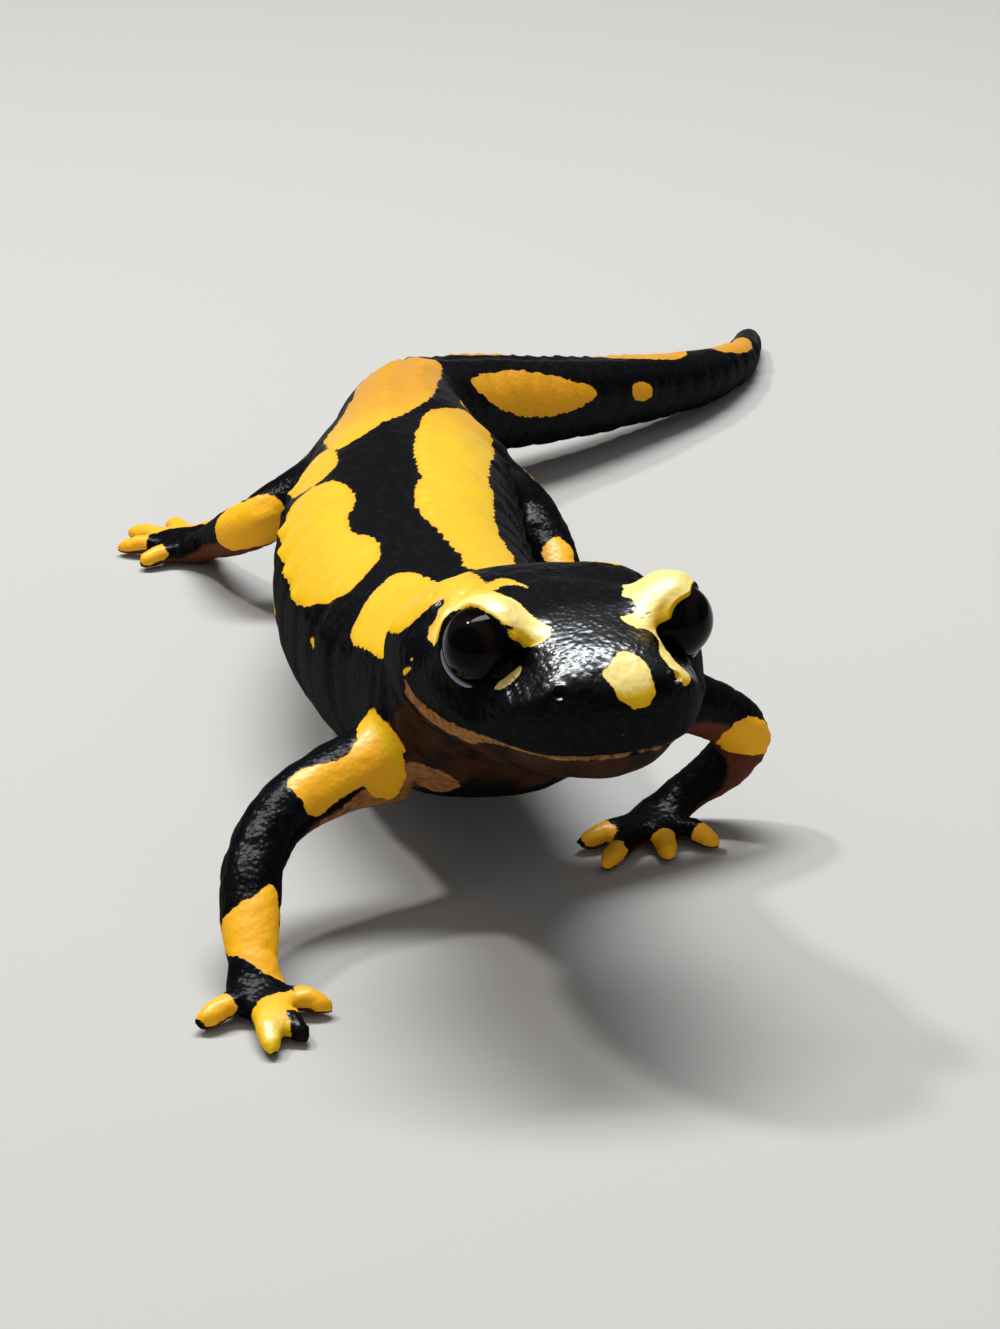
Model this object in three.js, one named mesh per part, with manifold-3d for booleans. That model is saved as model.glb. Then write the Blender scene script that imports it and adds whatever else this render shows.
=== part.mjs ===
// A fire salamander, Salamandra salamandra, as a still and life-size model of the whole animal.
// It walks: right foreleg and left hind leg forward, head raised and turned a little to its left, tail laid
// in a curve to its left. Millimetres. +Z is up, the snout points to -Y, the animal's left is +X, the origin is
// on the floor under the middle of the whole.

import * as THREE from "three";
import { mergeVertices } from "three/addons/utils/BufferGeometryUtils.js";
import Module from "manifold-3d";

const wasm = await Module();
wasm.setup();

const V = (x, y, z) => new THREE.Vector3(x, y, z);
const { degToRad, clamp } = THREE.MathUtils;

// ---------------------------------------------------------------- driving dimensions

const GAP = 0.3; // between two pieces that meet

const EYE_MIDDLE = V(9.35, -75.1, 29.0); // half way between the two eyeballs
const HEAD_YAW = degToRad(20); // turned to the animal's left
const HEAD_PITCH = degToRad(9); // snout up
const SNOUT_REACH = 8.6; // snout tip in front of the eyes
const HEAD_AXIS_DROP = 3.2; // the head's axis under the eyes
const HEAD_BACK = -11; // where the straight axis of the head ends, behind the eyes

const EYE_RADIUS = 2.9;
const EYE_SIDE = 6.85; // eyeball centre out from the middle of the head
const EYE_GAZE = V(0.71, 0.66, 0.2).normalize(); // of the left eye: to the side, forward, up
const LID_RADIUS = 3.55; // the bulge of the brow and lids round an eyeball
const LID_EDGE = 0.45; // plane of the open lids, out along the gaze from the eyeball's centre
const LID_OPENING = 8; // depth of the cut that opens the lids, enough to leave the head

// The mouth line in side view, from the lip to the corner, as distances forward of the eyes and up from them.
const MOUTH_LINE = [
  [8.6, -7.1],
  [6, -6.8],
  [3, -6.4],
  [0, -6.5],
  [-3, -6.9],
  [-5, -6.3],
  [-6.4, -5.2],
];
const THROAT_FOLD = [-11.2, -11.5]; // where the lower jaw ends below, forward of the eyes and up from them
const JAW_REACH = 16; // half the width of the cut for the jaw, and its depth, both past the head

// Sections of the body. at is the distance along the axis from the snout, half the half width, top and bottom
// the heights above and below the axis, and full how square the section is, where 2 is an ellipse.
const SECTIONS = [
  { at: 0, half: 4.4, top: 2.4, bottom: 4.2, full: 2.05 },
  { at: 2, half: 6.0, top: 3.1, bottom: 5.4, full: 2.0 },
  { at: 4, half: 7.3, top: 4.0, bottom: 6.0, full: 1.95 },
  { at: 6.5, half: 8.7, top: 4.9, bottom: 6.4, full: 1.85 },
  { at: 9, half: 9.7, top: 5.6, bottom: 6.7, full: 1.85 }, // the eyes
  { at: 13, half: 10.3, top: 6.0, bottom: 6.9, full: 1.9 },
  { at: 17, half: 10.6, top: 6.0, bottom: 6.9, full: 2.0 }, // behind the jaw corners, widest
  { at: 21, half: 10.0, top: 6.0, bottom: 7.0, full: 2.05 },
  { at: 27, half: 8.5, top: 6.3, bottom: 7.4, full: 2.2 }, // the neck, narrowest
  { at: 34, half: 9.3, top: 7.0, bottom: 8.6, full: 2.2 }, // the chest
  { at: 43, half: 10.1, top: 7.7, bottom: 8.9, full: 2.25 },
  { at: 52, half: 10.5, top: 8.1, bottom: 8.6, full: 2.3 },
  { at: 64, half: 10.9, top: 8.3, bottom: 8.4, full: 2.3 }, // the belly
  { at: 76, half: 10.7, top: 8.2, bottom: 8.3, full: 2.3 },
  { at: 86, half: 9.9, top: 7.7, bottom: 7.9, full: 2.25 },
  { at: 96, half: 8.6, top: 7.0, bottom: 7.3, full: 2.2 }, // the hips
  { at: 104, half: 7.0, top: 6.4, bottom: 6.6, full: 2.15 },
  { at: 112, half: 5.9, top: 5.9, bottom: 6.0, full: 2.1 }, // the tail
  { at: 121, half: 5.2, top: 5.3, bottom: 5.3, full: 2.1 },
  { at: 134, half: 4.5, top: 4.6, bottom: 4.6, full: 2.05 },
  { at: 147, half: 3.7, top: 3.8, bottom: 3.9, full: 2 },
  { at: 160, half: 3.0, top: 3.1, bottom: 3.2, full: 2 },
  { at: 173, half: 2.2, top: 2.3, bottom: 2.4, full: 2 },
  { at: 185, half: 1.4, top: 1.4, bottom: 1.5, full: 2 },
];
const SNOUT_ROUND = 2.9; // length of the rounding at the snout
const TAIL_ROUND = 2.4; // length of the rounding at the tip of the tail
const TAIL_END = 0.05; // the last ring, short of the very tip

// Places along the axis, from the snout, where one piece meets the next.
const NECK_FROM = 19.3;
const TRUNK_FROM = 29.5;
const TAIL_FROM = 106;
const TAIL_MIDDLE_FROM = 132;
const TAIL_TIP_FROM = 158;
const HIPS_TO = 112; // the body that the thighs stop short of ends here

// How finely the surfaces are divided.
const SPINE_SIDES = 24; // facets round the head, trunk and tail
const SNOUT_RINGS = 5;
const HEAD_RINGS = 9;
const LIMB_SIDES = 12;
const LIMB_STEP = 0.32; // between rings of a limb, as a number of its points
const PALM_RINGS = 6;
const DIGIT_SIDES = 7;
const DIGIT_RINGS = 5;
const LID_FACETS = 18;
const BALL_FACETS = [16, 10]; // round and from pole to pole

// Limbs. half and high are the half width and half height at each point of a limb's path. The path runs from
// inside the body over the elbow or knee, at its fourth point, and the wrist or ankle to the palm or sole and
// the knuckles. Each digit has its turn from the palm's own direction, in degrees counterclockwise from above,
// and how far its tip reaches from the middle of the palm.
const ARM = {
  names: ["upper_arm", "forearm", "hand"],
  half: [3.1, 2.7, 2.35, 2.3, 2.25, 1.95, 2.3, 1.9],
  high: [3.2, 2.75, 2.35, 2.2, 2.0, 1.55, 1.35, 1.15],
};
const LEG = {
  names: ["thigh", "shank", "foot"],
  half: [3.4, 3.0, 2.7, 2.4, 2.2, 1.85, 2.4, 2.1],
  high: [3.4, 3.0, 2.7, 2.4, 2.1, 1.6, 1.4, 1.2],
};
const LIMBS = [
  {
    ...ARM,
    side: "right",
    path: [
      V(-4, -55.8, 11.2),
      V(-8.6, -58.6, 10.6),
      V(-12.2, -61.8, 9.3),
      V(-14, -66, 7.3),
      V(-14.1, -69.8, 5),
      V(-13.8, -72.7, 3),
      V(-13.3, -75.3, 1.2),
      V(-12.6, -77.2, 1.05),
    ],
    digits: [
      { turn: -67, reach: 5.7 },
      { turn: -9, reach: 8.0 },
      { turn: 12, reach: 7.0 },
      { turn: 58, reach: 5.6 },
    ],
  },
  {
    ...ARM,
    side: "left",
    path: [
      V(9.5, -51.5, 14),
      V(15.4, -48.6, 13.2),
      V(20.4, -46, 11.2),
      V(23, -44.2, 8.2),
      V(21.6, -43.2, 5.2),
      V(18.8, -43.2, 2.9),
      V(16.2, -44.8, 1.2),
      V(15.2, -46.6, 1.05),
    ],
    digits: [
      { turn: 82, reach: 6.3 },
      { turn: 38, reach: 6.5 },
      { turn: 1, reach: 9.2 },
      { turn: -28, reach: 7.4 },
    ],
  },
  {
    ...LEG,
    side: "right",
    path: [
      V(-5, 8.5, 11.5),
      V(-10, 8, 11),
      V(-14.6, 6, 9.9),
      V(-17.9, 5.2, 8.2),
      V(-20.7, 9, 5.6),
      V(-22.8, 13.6, 3.2),
      V(-24.8, 17, 1.25),
      V(-26.4, 19.2, 1.1),
    ],
    digits: [
      { turn: -46, reach: 7.7 },
      { turn: -17, reach: 9.2 },
      { turn: 12, reach: 9.2 },
      { turn: 42, reach: 7.8 },
      { turn: 84, reach: 5.8 },
    ],
  },
  {
    ...LEG,
    side: "left",
    path: [
      V(-2, 8, 11.5),
      V(2.8, 5.6, 11.2),
      V(6.4, 1.2, 10.2),
      V(8.3, -3, 8.4),
      V(9.4, -7.4, 5.7),
      V(10.5, -11.4, 3.2),
      V(11.8, -14.8, 1.25),
      V(12.6, -17, 1.1),
    ],
    digits: [
      { turn: 70, reach: 6.3 },
      { turn: 36, reach: 8.5 },
      { turn: 9, reach: 9.2 },
      { turn: -17, reach: 8.3 },
      { turn: -53, reach: 5.9 },
    ],
  },
];
const ELBOW_POINT = 2.7; // where a path is parted at its elbow or knee, as a number of points from its start
const WRIST_POINT = 4.9;
const DIGIT_THICK = [1.05, 0.95, 0.78]; // radius of a digit at the palm, its middle and its tip
const DIGIT_HEIGHT = [1.3, 0.66]; // of the axis of a digit over the floor, at its middle and its tip
const DIGIT_PLACES = [0.12, 0.6]; // where a digit starts and has its middle, as shares of its reach
const TIP_ROUND = 0.3; // share of a digit or palm that its round end takes
const TIP_BLUNT = 0.3; // how far that round end narrows before it is closed
const FLOOR_REACH = 200; // size of a block under the floor, for cutting feet and tail flat

const SKIN_BLACK = { color: 0x0d0d10, roughness: 0.32, metalness: 0 };
const SKIN_YELLOW = { color: 0xf2a916, roughness: 0.4, metalness: 0 };
const THROAT_BROWN = { color: 0x6b4524, roughness: 0.5, metalness: 0 };
const EYE_BLACK = { color: 0x050506, roughness: 0.06, metalness: 0 };

// ---------------------------------------------------------------- helpers

// The head's own axes: to the animal's left, forward and up.
const HEAD_LEFT = V(Math.cos(HEAD_YAW), Math.sin(HEAD_YAW), 0);
const HEAD_FORWARD = V(
  Math.sin(HEAD_YAW) * Math.cos(HEAD_PITCH),
  -Math.cos(HEAD_YAW) * Math.cos(HEAD_PITCH),
  Math.sin(HEAD_PITCH),
);
const HEAD_UP = HEAD_FORWARD.clone().cross(HEAD_LEFT);

// A direction in the head, from its parts to the left, forward and up.
function headDirection(left, forward, up) {
  return V(0, 0, 0)
    .addScaledVector(HEAD_LEFT, left)
    .addScaledVector(HEAD_FORWARD, forward)
    .addScaledVector(HEAD_UP, up);
}

// A place in the head, from its distances left, forward and up from the point between the eyes.
const inHead = (left, forward, up) => headDirection(left, forward, up).add(EYE_MIDDLE);

// A value of the sections at a distance along the axis: a smooth cubic through the given stations.
function section(key, at) {
  const last = SECTIONS.length - 1;
  let i = 0;
  while (i < last - 1 && SECTIONS[i + 1].at < at) i += 1;
  const slope = (k) => {
    const before = SECTIONS[Math.max(k - 1, 0)];
    const after = SECTIONS[Math.min(k + 1, last)];
    return (after[key] - before[key]) / (after.at - before.at);
  };
  const step = SECTIONS[i + 1].at - SECTIONS[i].at;
  const t = clamp((at - SECTIONS[i].at) / step, 0, 1);
  const t2 = t * t;
  const t3 = t2 * t;
  return (
    (2 * t3 - 3 * t2 + 1) * SECTIONS[i][key] +
    (t3 - 2 * t2 + t) * step * slope(i) +
    (3 * t2 - 2 * t3) * SECTIONS[i + 1][key] +
    (t3 - t2) * step * slope(i + 1)
  );
}

// A point of a superellipse's quarter: the power of a cosine or sine that keeps its sign.
const squared = (wave, full) => Math.sign(wave) * Math.abs(wave) ** (2 / full);

// Closed surface over rings of points that all have the same count, with a fan over each end.
function skinOver(rings) {
  const sides = rings[0].length;
  const points = rings.flat();
  const ends = [rings[0], rings[rings.length - 1]].map((ring) =>
    ring.reduce((sum, p) => sum.add(p), V(0, 0, 0)).divideScalar(sides),
  );
  const faces = [];
  for (let r = 0; r + 1 < rings.length; r += 1) {
    for (let k = 0; k < sides; k += 1) {
      const a = r * sides + k;
      const b = r * sides + ((k + 1) % sides);
      faces.push(a, b, b + sides, a, b + sides, a + sides);
    }
  }
  const first = points.length;
  const lastRing = (rings.length - 1) * sides;
  for (let k = 0; k < sides; k += 1) {
    const next = (k + 1) % sides;
    faces.push(first, next, k);
    faces.push(first + 1, lastRing + k, lastRing + next);
  }
  const geometry = new THREE.BufferGeometry().setFromPoints([...points, ...ends]);
  geometry.setIndex(faces);
  return geometry;
}

// A geometry as a manifold-3d solid, for cutting and joining.
function solid(geometry) {
  const bare = geometry.clone();
  bare.deleteAttribute("normal");
  bare.deleteAttribute("uv");
  const merged = mergeVertices(bare, 1e-4);
  return new wasm.Manifold(
    new wasm.Mesh({
      numProp: 3,
      vertProperties: new Float32Array(merged.attributes.position.array),
      triVerts: new Uint32Array(merged.index.array),
    }),
  );
}

// A named mesh from a manifold-3d solid.
function piece(name, made, finish) {
  const { vertProperties, triVerts } = made.getMesh();
  const geometry = new THREE.BufferGeometry();
  geometry.setAttribute("position", new THREE.BufferAttribute(vertProperties, 3));
  geometry.setIndex(new THREE.BufferAttribute(triVerts, 1));
  geometry.computeVertexNormals();
  const mesh = new THREE.Mesh(geometry, new THREE.MeshStandardMaterial(finish));
  mesh.name = name;
  return mesh;
}

// ---------------------------------------------------------------- head, neck, trunk and tail

// The axis of the head, neck, trunk and tail, from the snout to the tip of the tail.
const headAxis = [SNOUT_REACH, SNOUT_REACH / 2, 0, HEAD_BACK / 2, HEAD_BACK];
const SPINE = [
  ...headAxis.map((forward) => inHead(0, forward, -HEAD_AXIS_DROP)),
  V(4.9, -59.5, 20.6),
  V(3.9, -53.5, 16.6),
  V(1.5, -45.5, 13.8),
  V(-1.2, -37.5, 12.6),
  V(-3.6, -26, 12),
  V(-4.4, -14, 11.9),
  V(-4.4, -4, 11.9),
  V(-4.4, 6, 11.8),
  V(-4.8, 14, 11.7),
  V(-5.1, 22, 11.2),
  V(-3.8, 30.5, 10.1),
  V(2, 38.5, 8.5),
  V(10, 45.5, 6.8),
  V(17.2, 53, 5.3),
  V(24.2, 61.5, 3.8),
  V(29.4, 72, 2.3),
  V(31.6, 84.8, 1.1),
];
const spine = new THREE.CatmullRomCurve3(SPINE, false, "centripetal");
spine.arcLengthDivisions = 600;
const BODY_LENGTH = spine.getLength();

// One ring of the body at a distance along the axis, grown outwards by more.
function bodyRing(at, more = 0) {
  const share = clamp(at / BODY_LENGTH, 0, 1);
  const centre = spine.getPointAt(share);
  const back = spine.getTangentAt(share);
  const side = V(0, 0, 1).cross(back).normalize();
  const up = back.clone().cross(side);
  const snout = 1 - Math.min(at / SNOUT_ROUND, 1);
  const tip = 1 - Math.min((BODY_LENGTH - at) / TAIL_ROUND, 1);
  const rounding = Math.sqrt(Math.max(1 - snout ** 2.2, 0)) * Math.sqrt(Math.max(1 - tip ** 2, 0));
  const half = section("half", at) * rounding + more;
  const top = section("top", at) * rounding + more;
  const bottom = section("bottom", at) * rounding + more;
  const full = section("full", at);
  return Array.from({ length: SPINE_SIDES }, (_, k) => {
    const angle = (2 * Math.PI * k) / SPINE_SIDES;
    const height = Math.sin(angle) > 0 ? top : bottom;
    return centre
      .clone()
      .addScaledVector(side, half * squared(Math.cos(angle), full))
      .addScaledVector(up, height * squared(Math.sin(angle), full));
  });
}

// A length of the body between two distances along the axis, with rings about spacing apart.
function bodyLength(from, to, spacing, more = 0) {
  const steps = Math.ceil((to - from) / spacing);
  const rings = [];
  for (let k = 0; k <= steps; k += 1) rings.push(bodyRing(from + ((to - from) * k) / steps, more));
  return solid(skinOver(rings));
}

// The head's rings crowd towards the snout, as a quarter circle's do.
function headLoft() {
  const rings = [];
  for (let k = 1; k <= SNOUT_RINGS; k += 1) {
    rings.push(bodyRing(SNOUT_ROUND * (1 - Math.cos(((k / SNOUT_RINGS) * Math.PI) / 2))));
  }
  const rest = NECK_FROM - GAP / 2 - SNOUT_ROUND;
  for (let k = 1; k <= HEAD_RINGS; k += 1) {
    rings.push(bodyRing(SNOUT_ROUND + (rest * k) / HEAD_RINGS));
  }
  return solid(skinOver(rings));
}

// A ball of a radius round the centre of an eye, where sign is 1 for the left one and -1 for the right.
function eyeBall(radius, sign) {
  const sphere = new THREE.SphereGeometry(radius, ...BALL_FACETS);
  const centre = inHead(sign * EYE_SIDE, 0, 0);
  sphere.translate(centre.x, centre.y, centre.z);
  return solid(sphere);
}

// The space in front of an eye's open lids: a cylinder a little wider than the lids, along the gaze, from their
// edge out.
function openLids(sign) {
  const width = LID_RADIUS + GAP;
  const space = new THREE.CylinderGeometry(width, width, LID_OPENING, LID_FACETS);
  space.translate(0, LID_OPENING / 2 + LID_EDGE, 0);
  const gaze = headDirection(sign * EYE_GAZE.x, EYE_GAZE.y, EYE_GAZE.z);
  space.applyQuaternion(new THREE.Quaternion().setFromUnitVectors(V(0, 1, 0), gaze));
  const centre = inHead(sign * EYE_SIDE, 0, 0);
  space.translate(centre.x, centre.y, centre.z);
  return solid(space);
}

// The space of the lower jaw: in side view, all that is below the mouth line and in front of the throat fold,
// with its edge moved out by more. It reaches across the whole head.
function jawSpace(more) {
  const outline = new THREE.Shape();
  const mouth = MOUTH_LINE.map(([forward, up]) => new THREE.Vector2(forward - more, up + more));
  outline.moveTo(JAW_REACH, mouth[0].y);
  outline.lineTo(mouth[0].x, mouth[0].y);
  outline.splineThru(mouth.slice(1));
  outline.lineTo(THROAT_FOLD[0] - more, THROAT_FOLD[1]);
  outline.lineTo(THROAT_FOLD[0] - more, -JAW_REACH);
  outline.lineTo(JAW_REACH, -JAW_REACH);
  outline.closePath();
  const across = { depth: 2 * JAW_REACH, bevelEnabled: false, curveSegments: 3 };
  const slab = new THREE.ExtrudeGeometry(outline, across);
  slab.translate(0, 0, -JAW_REACH);
  // The outline's x is forward and its y is up, so its z, to the animal's right, completes the head's axes.
  const axes = new THREE.Matrix4().makeBasis(HEAD_FORWARD, HEAD_UP, HEAD_LEFT.clone().negate());
  slab.applyMatrix4(axes.setPosition(EYE_MIDDLE));
  return solid(slab);
}

function headPieces() {
  let skull = headLoft();
  const eyes = [];
  for (const [side, sign] of Object.entries({ left: 1, right: -1 })) {
    const lids = eyeBall(LID_RADIUS, sign);
    const socket = eyeBall(EYE_RADIUS + GAP, sign);
    skull = skull.add(lids).subtract(openLids(sign)).subtract(socket);
    eyes.push(piece("eye_" + side, eyeBall(EYE_RADIUS, sign), EYE_BLACK));
  }
  return [
    piece("head", skull.subtract(jawSpace(GAP / 2)), SKIN_BLACK),
    piece("lower_jaw", skull.intersect(jawSpace(-GAP / 2)), THROAT_BROWN),
    ...eyes,
  ];
}

// ---------------------------------------------------------------- limbs

const floorBox = new THREE.BoxGeometry(FLOOR_REACH, FLOOR_REACH, FLOOR_REACH);
const floorBlock = solid(floorBox.translate(0, 0, -FLOOR_REACH / 2));

// A smooth tube along points with a half width and half height at each. It is made from one place on it to
// another, both counted in points from its start, and the end of it may be rounded off.
function tube(points, half, high, sides) {
  const path = new THREE.CatmullRomCurve3(points, false, "centripetal");
  const numbered = (values) => values.map((value, k) => new THREE.Vector2(k, value));
  const widths = new THREE.SplineCurve(numbered(half));
  const heights = new THREE.SplineCurve(numbered(high));
  const last = points.length - 1;
  const ring = (place, shrink) => {
    const share = place / last;
    const centre = path.getPoint(share);
    const along = path.getTangent(share);
    const side = V(0, 0, 1).cross(along).normalize();
    const up = along.clone().cross(side);
    return Array.from({ length: sides }, (_, k) => {
      const angle = (2 * Math.PI * k) / sides;
      return centre
        .clone()
        .addScaledVector(side, shrink * widths.getPoint(share).y * Math.cos(angle))
        .addScaledVector(up, shrink * heights.getPoint(share).y * Math.sin(angle));
    });
  };
  return {
    // The places that lie half a gap before and after a place.
    gapAt(place) {
      const near = 0.1;
      const before = path.getPoint((place - near) / last);
      const after = path.getPoint((place + near) / last);
      const halfGap = (GAP * near) / before.distanceTo(after);
      return [place - halfGap, place + halfGap];
    },
    from(start, end, steps, round = 0) {
      const rings = [];
      for (let k = 0; k <= steps; k += 1) {
        const share = k / steps;
        const place = start + (end - start) * (round ? Math.sin((share * Math.PI) / 2) : share);
        const left = round ? Math.min((end - place) / (end - start) / round, 1) : 1;
        rings.push(ring(place, Math.max(Math.sqrt(1 - (1 - left) ** 2), TIP_BLUNT)));
      }
      return solid(skinOver(rings));
    },
  };
}

// The palm or sole with its digits, cut flat on the floor.
function palmAndDigits(whole, start, { path, digits }) {
  const [palm, knuckles] = path.slice(-2);
  const ahead = knuckles.clone().sub(palm).setZ(0).normalize();
  const [middleHeight, tipHeight] = DIGIT_HEIGHT;
  const [rootShare, middleShare] = DIGIT_PLACES;
  let made = whole.from(start, path.length - 1, PALM_RINGS, TIP_ROUND);
  for (const { turn, reach } of digits) {
    const out = ahead.clone().applyAxisAngle(V(0, 0, 1), degToRad(turn)).multiplyScalar(reach);
    const root = palm.clone().addScaledVector(out, rootShare);
    const middle = palm.clone().addScaledVector(out, middleShare).setZ(middleHeight);
    const tip = palm.clone().add(out).setZ(tipHeight);
    const digit = tube([root, middle, tip], DIGIT_THICK, DIGIT_THICK, DIGIT_SIDES);
    made = made.add(digit.from(0, 2, DIGIT_RINGS, TIP_ROUND));
  }
  return made.subtract(floorBlock);
}

function limbPieces(limb, body) {
  const { side, names, path, half, high } = limb;
  const [upper, lower, end] = names.map((name) => name + "_" + side);
  const whole = tube(path, half, high, LIMB_SIDES);
  const [elbowBefore, elbowAfter] = whole.gapAt(ELBOW_POINT);
  const [wristBefore, wristAfter] = whole.gapAt(WRIST_POINT);
  const length = (start, stop) => whole.from(start, stop, Math.ceil((stop - start) / LIMB_STEP));
  return [
    piece(upper, length(0, elbowBefore).subtract(body), SKIN_YELLOW),
    piece(lower, length(elbowAfter, wristBefore), SKIN_BLACK),
    piece(end, palmAndDigits(whole, wristAfter, limb), SKIN_YELLOW),
  ];
}

// ---------------------------------------------------------------- the whole animal

const salamander = new THREE.Group();
salamander.add(...headPieces());

const lengths = [
  { name: "neck", from: NECK_FROM, to: TRUNK_FROM, spacing: 2.6 },
  { name: "trunk", from: TRUNK_FROM, to: TAIL_FROM, spacing: 4.8 },
  { name: "tail_root", from: TAIL_FROM, to: TAIL_MIDDLE_FROM, spacing: 3.8 },
  { name: "tail_middle", from: TAIL_MIDDLE_FROM, to: TAIL_TIP_FROM, spacing: 3.9 },
  { name: "tail_tip", from: TAIL_TIP_FROM, to: BODY_LENGTH - TAIL_END + GAP / 2, spacing: 2.8 },
];
for (const { name, from, to, spacing } of lengths) {
  const made = bodyLength(from + GAP / 2, to - GAP / 2, spacing);
  salamander.add(piece(name, made.subtract(floorBlock), SKIN_BLACK));
}

const roomForBody = bodyLength(NECK_FROM, HIPS_TO, 3.2, GAP);
for (const limb of LIMBS) salamander.add(...limbPieces(limb, roomForBody));

export default salamander;
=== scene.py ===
# %% [markdown]
# # A fire salamander, in one skin
# The frame holds the animal as plain faceted solids. Here it gets its looks: one closed skin over head,
# trunk, tail and limbs, two wet eyeballs, and a black and yellow finish worked out from the shape of the
# animal. Everything is in the frame's own place. Lengths are named in millimetres and turned into metres at
# the end.

import bpy
import numpy as np
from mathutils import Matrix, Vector


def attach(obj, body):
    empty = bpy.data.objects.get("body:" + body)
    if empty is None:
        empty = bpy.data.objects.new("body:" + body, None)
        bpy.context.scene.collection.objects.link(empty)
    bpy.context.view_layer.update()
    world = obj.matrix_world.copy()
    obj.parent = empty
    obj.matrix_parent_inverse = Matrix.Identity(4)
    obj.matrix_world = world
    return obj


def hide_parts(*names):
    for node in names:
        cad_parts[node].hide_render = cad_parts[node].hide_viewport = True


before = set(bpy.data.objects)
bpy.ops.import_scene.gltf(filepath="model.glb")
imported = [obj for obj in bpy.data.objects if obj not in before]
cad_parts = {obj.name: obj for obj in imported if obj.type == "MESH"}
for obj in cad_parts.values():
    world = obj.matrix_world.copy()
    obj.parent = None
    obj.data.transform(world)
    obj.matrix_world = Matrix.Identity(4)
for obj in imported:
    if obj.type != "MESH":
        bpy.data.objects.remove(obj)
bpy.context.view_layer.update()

MM = 0.001
print("nodes:", sorted(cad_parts))


# %% [markdown]
# ## Curves
# Every part of the body is a tube of some kind, carried along a bent axis. A Catmull-Rom curve goes through
# all of its points, so the points can be read off the animal. Its bends stay tight and even if the steps
# between points are weighed by the root of their length.

# %% A smooth path through points
def unit(vectors):
    """Each row divided by its own length."""
    return vectors / np.maximum(np.linalg.norm(vectors, axis=-1, keepdims=True), 1e-12)


def path_at(points, places, chord_power=0.5):
    """Between two points it is a cubic. Its slope at a point comes from the points on both sides, weighed by
    their distances to the chord power. A place counts points from 0, so 2.5 is half way from the third point
    to the fourth."""
    p = np.asarray(points, float)
    p = p[:, None] if p.ndim == 1 else p
    q = np.vstack([2 * p[0] - p[1], p, 2 * p[-1] - p[-2]])
    place = np.clip(np.asarray(places, float), 0, len(p) - 1)
    i = np.minimum(place.astype(int), len(p) - 2)
    w = (place - i)[:, None]
    a, b, c, d = q[i], q[i + 1], q[i + 2], q[i + 3]
    chords = (b - a, c - b, d - c)
    ab, bc, cd = (np.linalg.norm(chord, axis=1, keepdims=True) ** chord_power for chord in chords)
    slope_b = ((b - a) / ab - (c - a) / (ab + bc) + (c - b) / bc) * bc
    slope_c = ((c - b) / bc - (d - b) / (bc + cd) + (d - c) / cd) * bc
    square = 3 * (c - b) - 2 * slope_b - slope_c
    cube = 2 * (b - c) + slope_b + slope_c
    return b + slope_b * w + square * w**2 + cube * w**3


def path_frame(points, places):
    """The point of a path, the direction along it, and the directions to its right and up, square to it. The
    direction is that from a place just before to one just after."""
    near = 0.02
    middle = path_at(points, places)
    along = unit(path_at(points, places + near) - path_at(points, places - near))
    right = unit(np.cross([0.0, 0.0, 1.0], along))
    return middle, along, right, np.cross(along, right)


# %% [markdown]
# ## The head's own axes
# The head is raised a little and turned to the animal's left. Eyes, mouth and nostrils are easiest to place
# in the head's own directions, so a place there is given by how far it is to the left, forward and up from
# the point between the eyes.

# %% Head axes
EYE_MIDDLE = np.array([9.35, -75.1, 29.0])
HEAD_YAW = np.radians(20)
HEAD_PITCH = np.radians(9)
HEAD_LEFT = np.array([np.cos(HEAD_YAW), np.sin(HEAD_YAW), 0])
HEAD_FORWARD = np.array(
    [np.sin(HEAD_YAW) * np.cos(HEAD_PITCH), -np.cos(HEAD_YAW) * np.cos(HEAD_PITCH), np.sin(HEAD_PITCH)]
)
HEAD_UP = np.cross(HEAD_FORWARD, HEAD_LEFT)
HEAD_AXES = np.array([HEAD_LEFT, HEAD_FORWARD, HEAD_UP])


def in_head(places):
    """Left, forward and up from the point between the eyes, turned into the frame's own directions."""
    return EYE_MIDDLE + np.asarray(places, float) @ HEAD_AXES


def to_head(points):
    """Points of the frame as left, forward and up in the head."""
    return (points - EYE_MIDDLE) @ HEAD_AXES.T


# %% [markdown]
# ## The body's axis and sections
# The spine runs from the snout to the tip of the tail. Across it, the body is a squarish oval with its own
# width, its own height above the axis and below it, and its own squareness. Those four numbers, at a few
# stations, are the whole shape of the animal without its limbs.

# %% Spine and sections, as given
SNOUT_REACH = 8.6
HEAD_AXIS_DROP = 3.2
HEAD_BACK = -11
HEAD_AXIS = [[0, f, -HEAD_AXIS_DROP] for f in (SNOUT_REACH, SNOUT_REACH / 2, 0, HEAD_BACK / 2, HEAD_BACK)]
SPINE = np.vstack([
    in_head(HEAD_AXIS),
    [
        (4.9, -59.5, 20.6), (3.9, -53.5, 16.6), (1.5, -45.5, 13.8), (-1.2, -37.5, 12.6), (-3.6, -26, 12),
        (-4.4, -14, 11.9), (-4.4, -4, 11.9), (-4.4, 6, 11.8), (-4.8, 14, 11.7), (-5.1, 22, 11.2),
        (-3.8, 30.5, 10.1), (2, 38.5, 8.5), (10, 45.5, 6.8), (17.2, 53, 5.3), (24.2, 61.5, 3.8),
        (29.4, 72, 2.3), (31.6, 84.8, 1.1),
    ],
])
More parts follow.
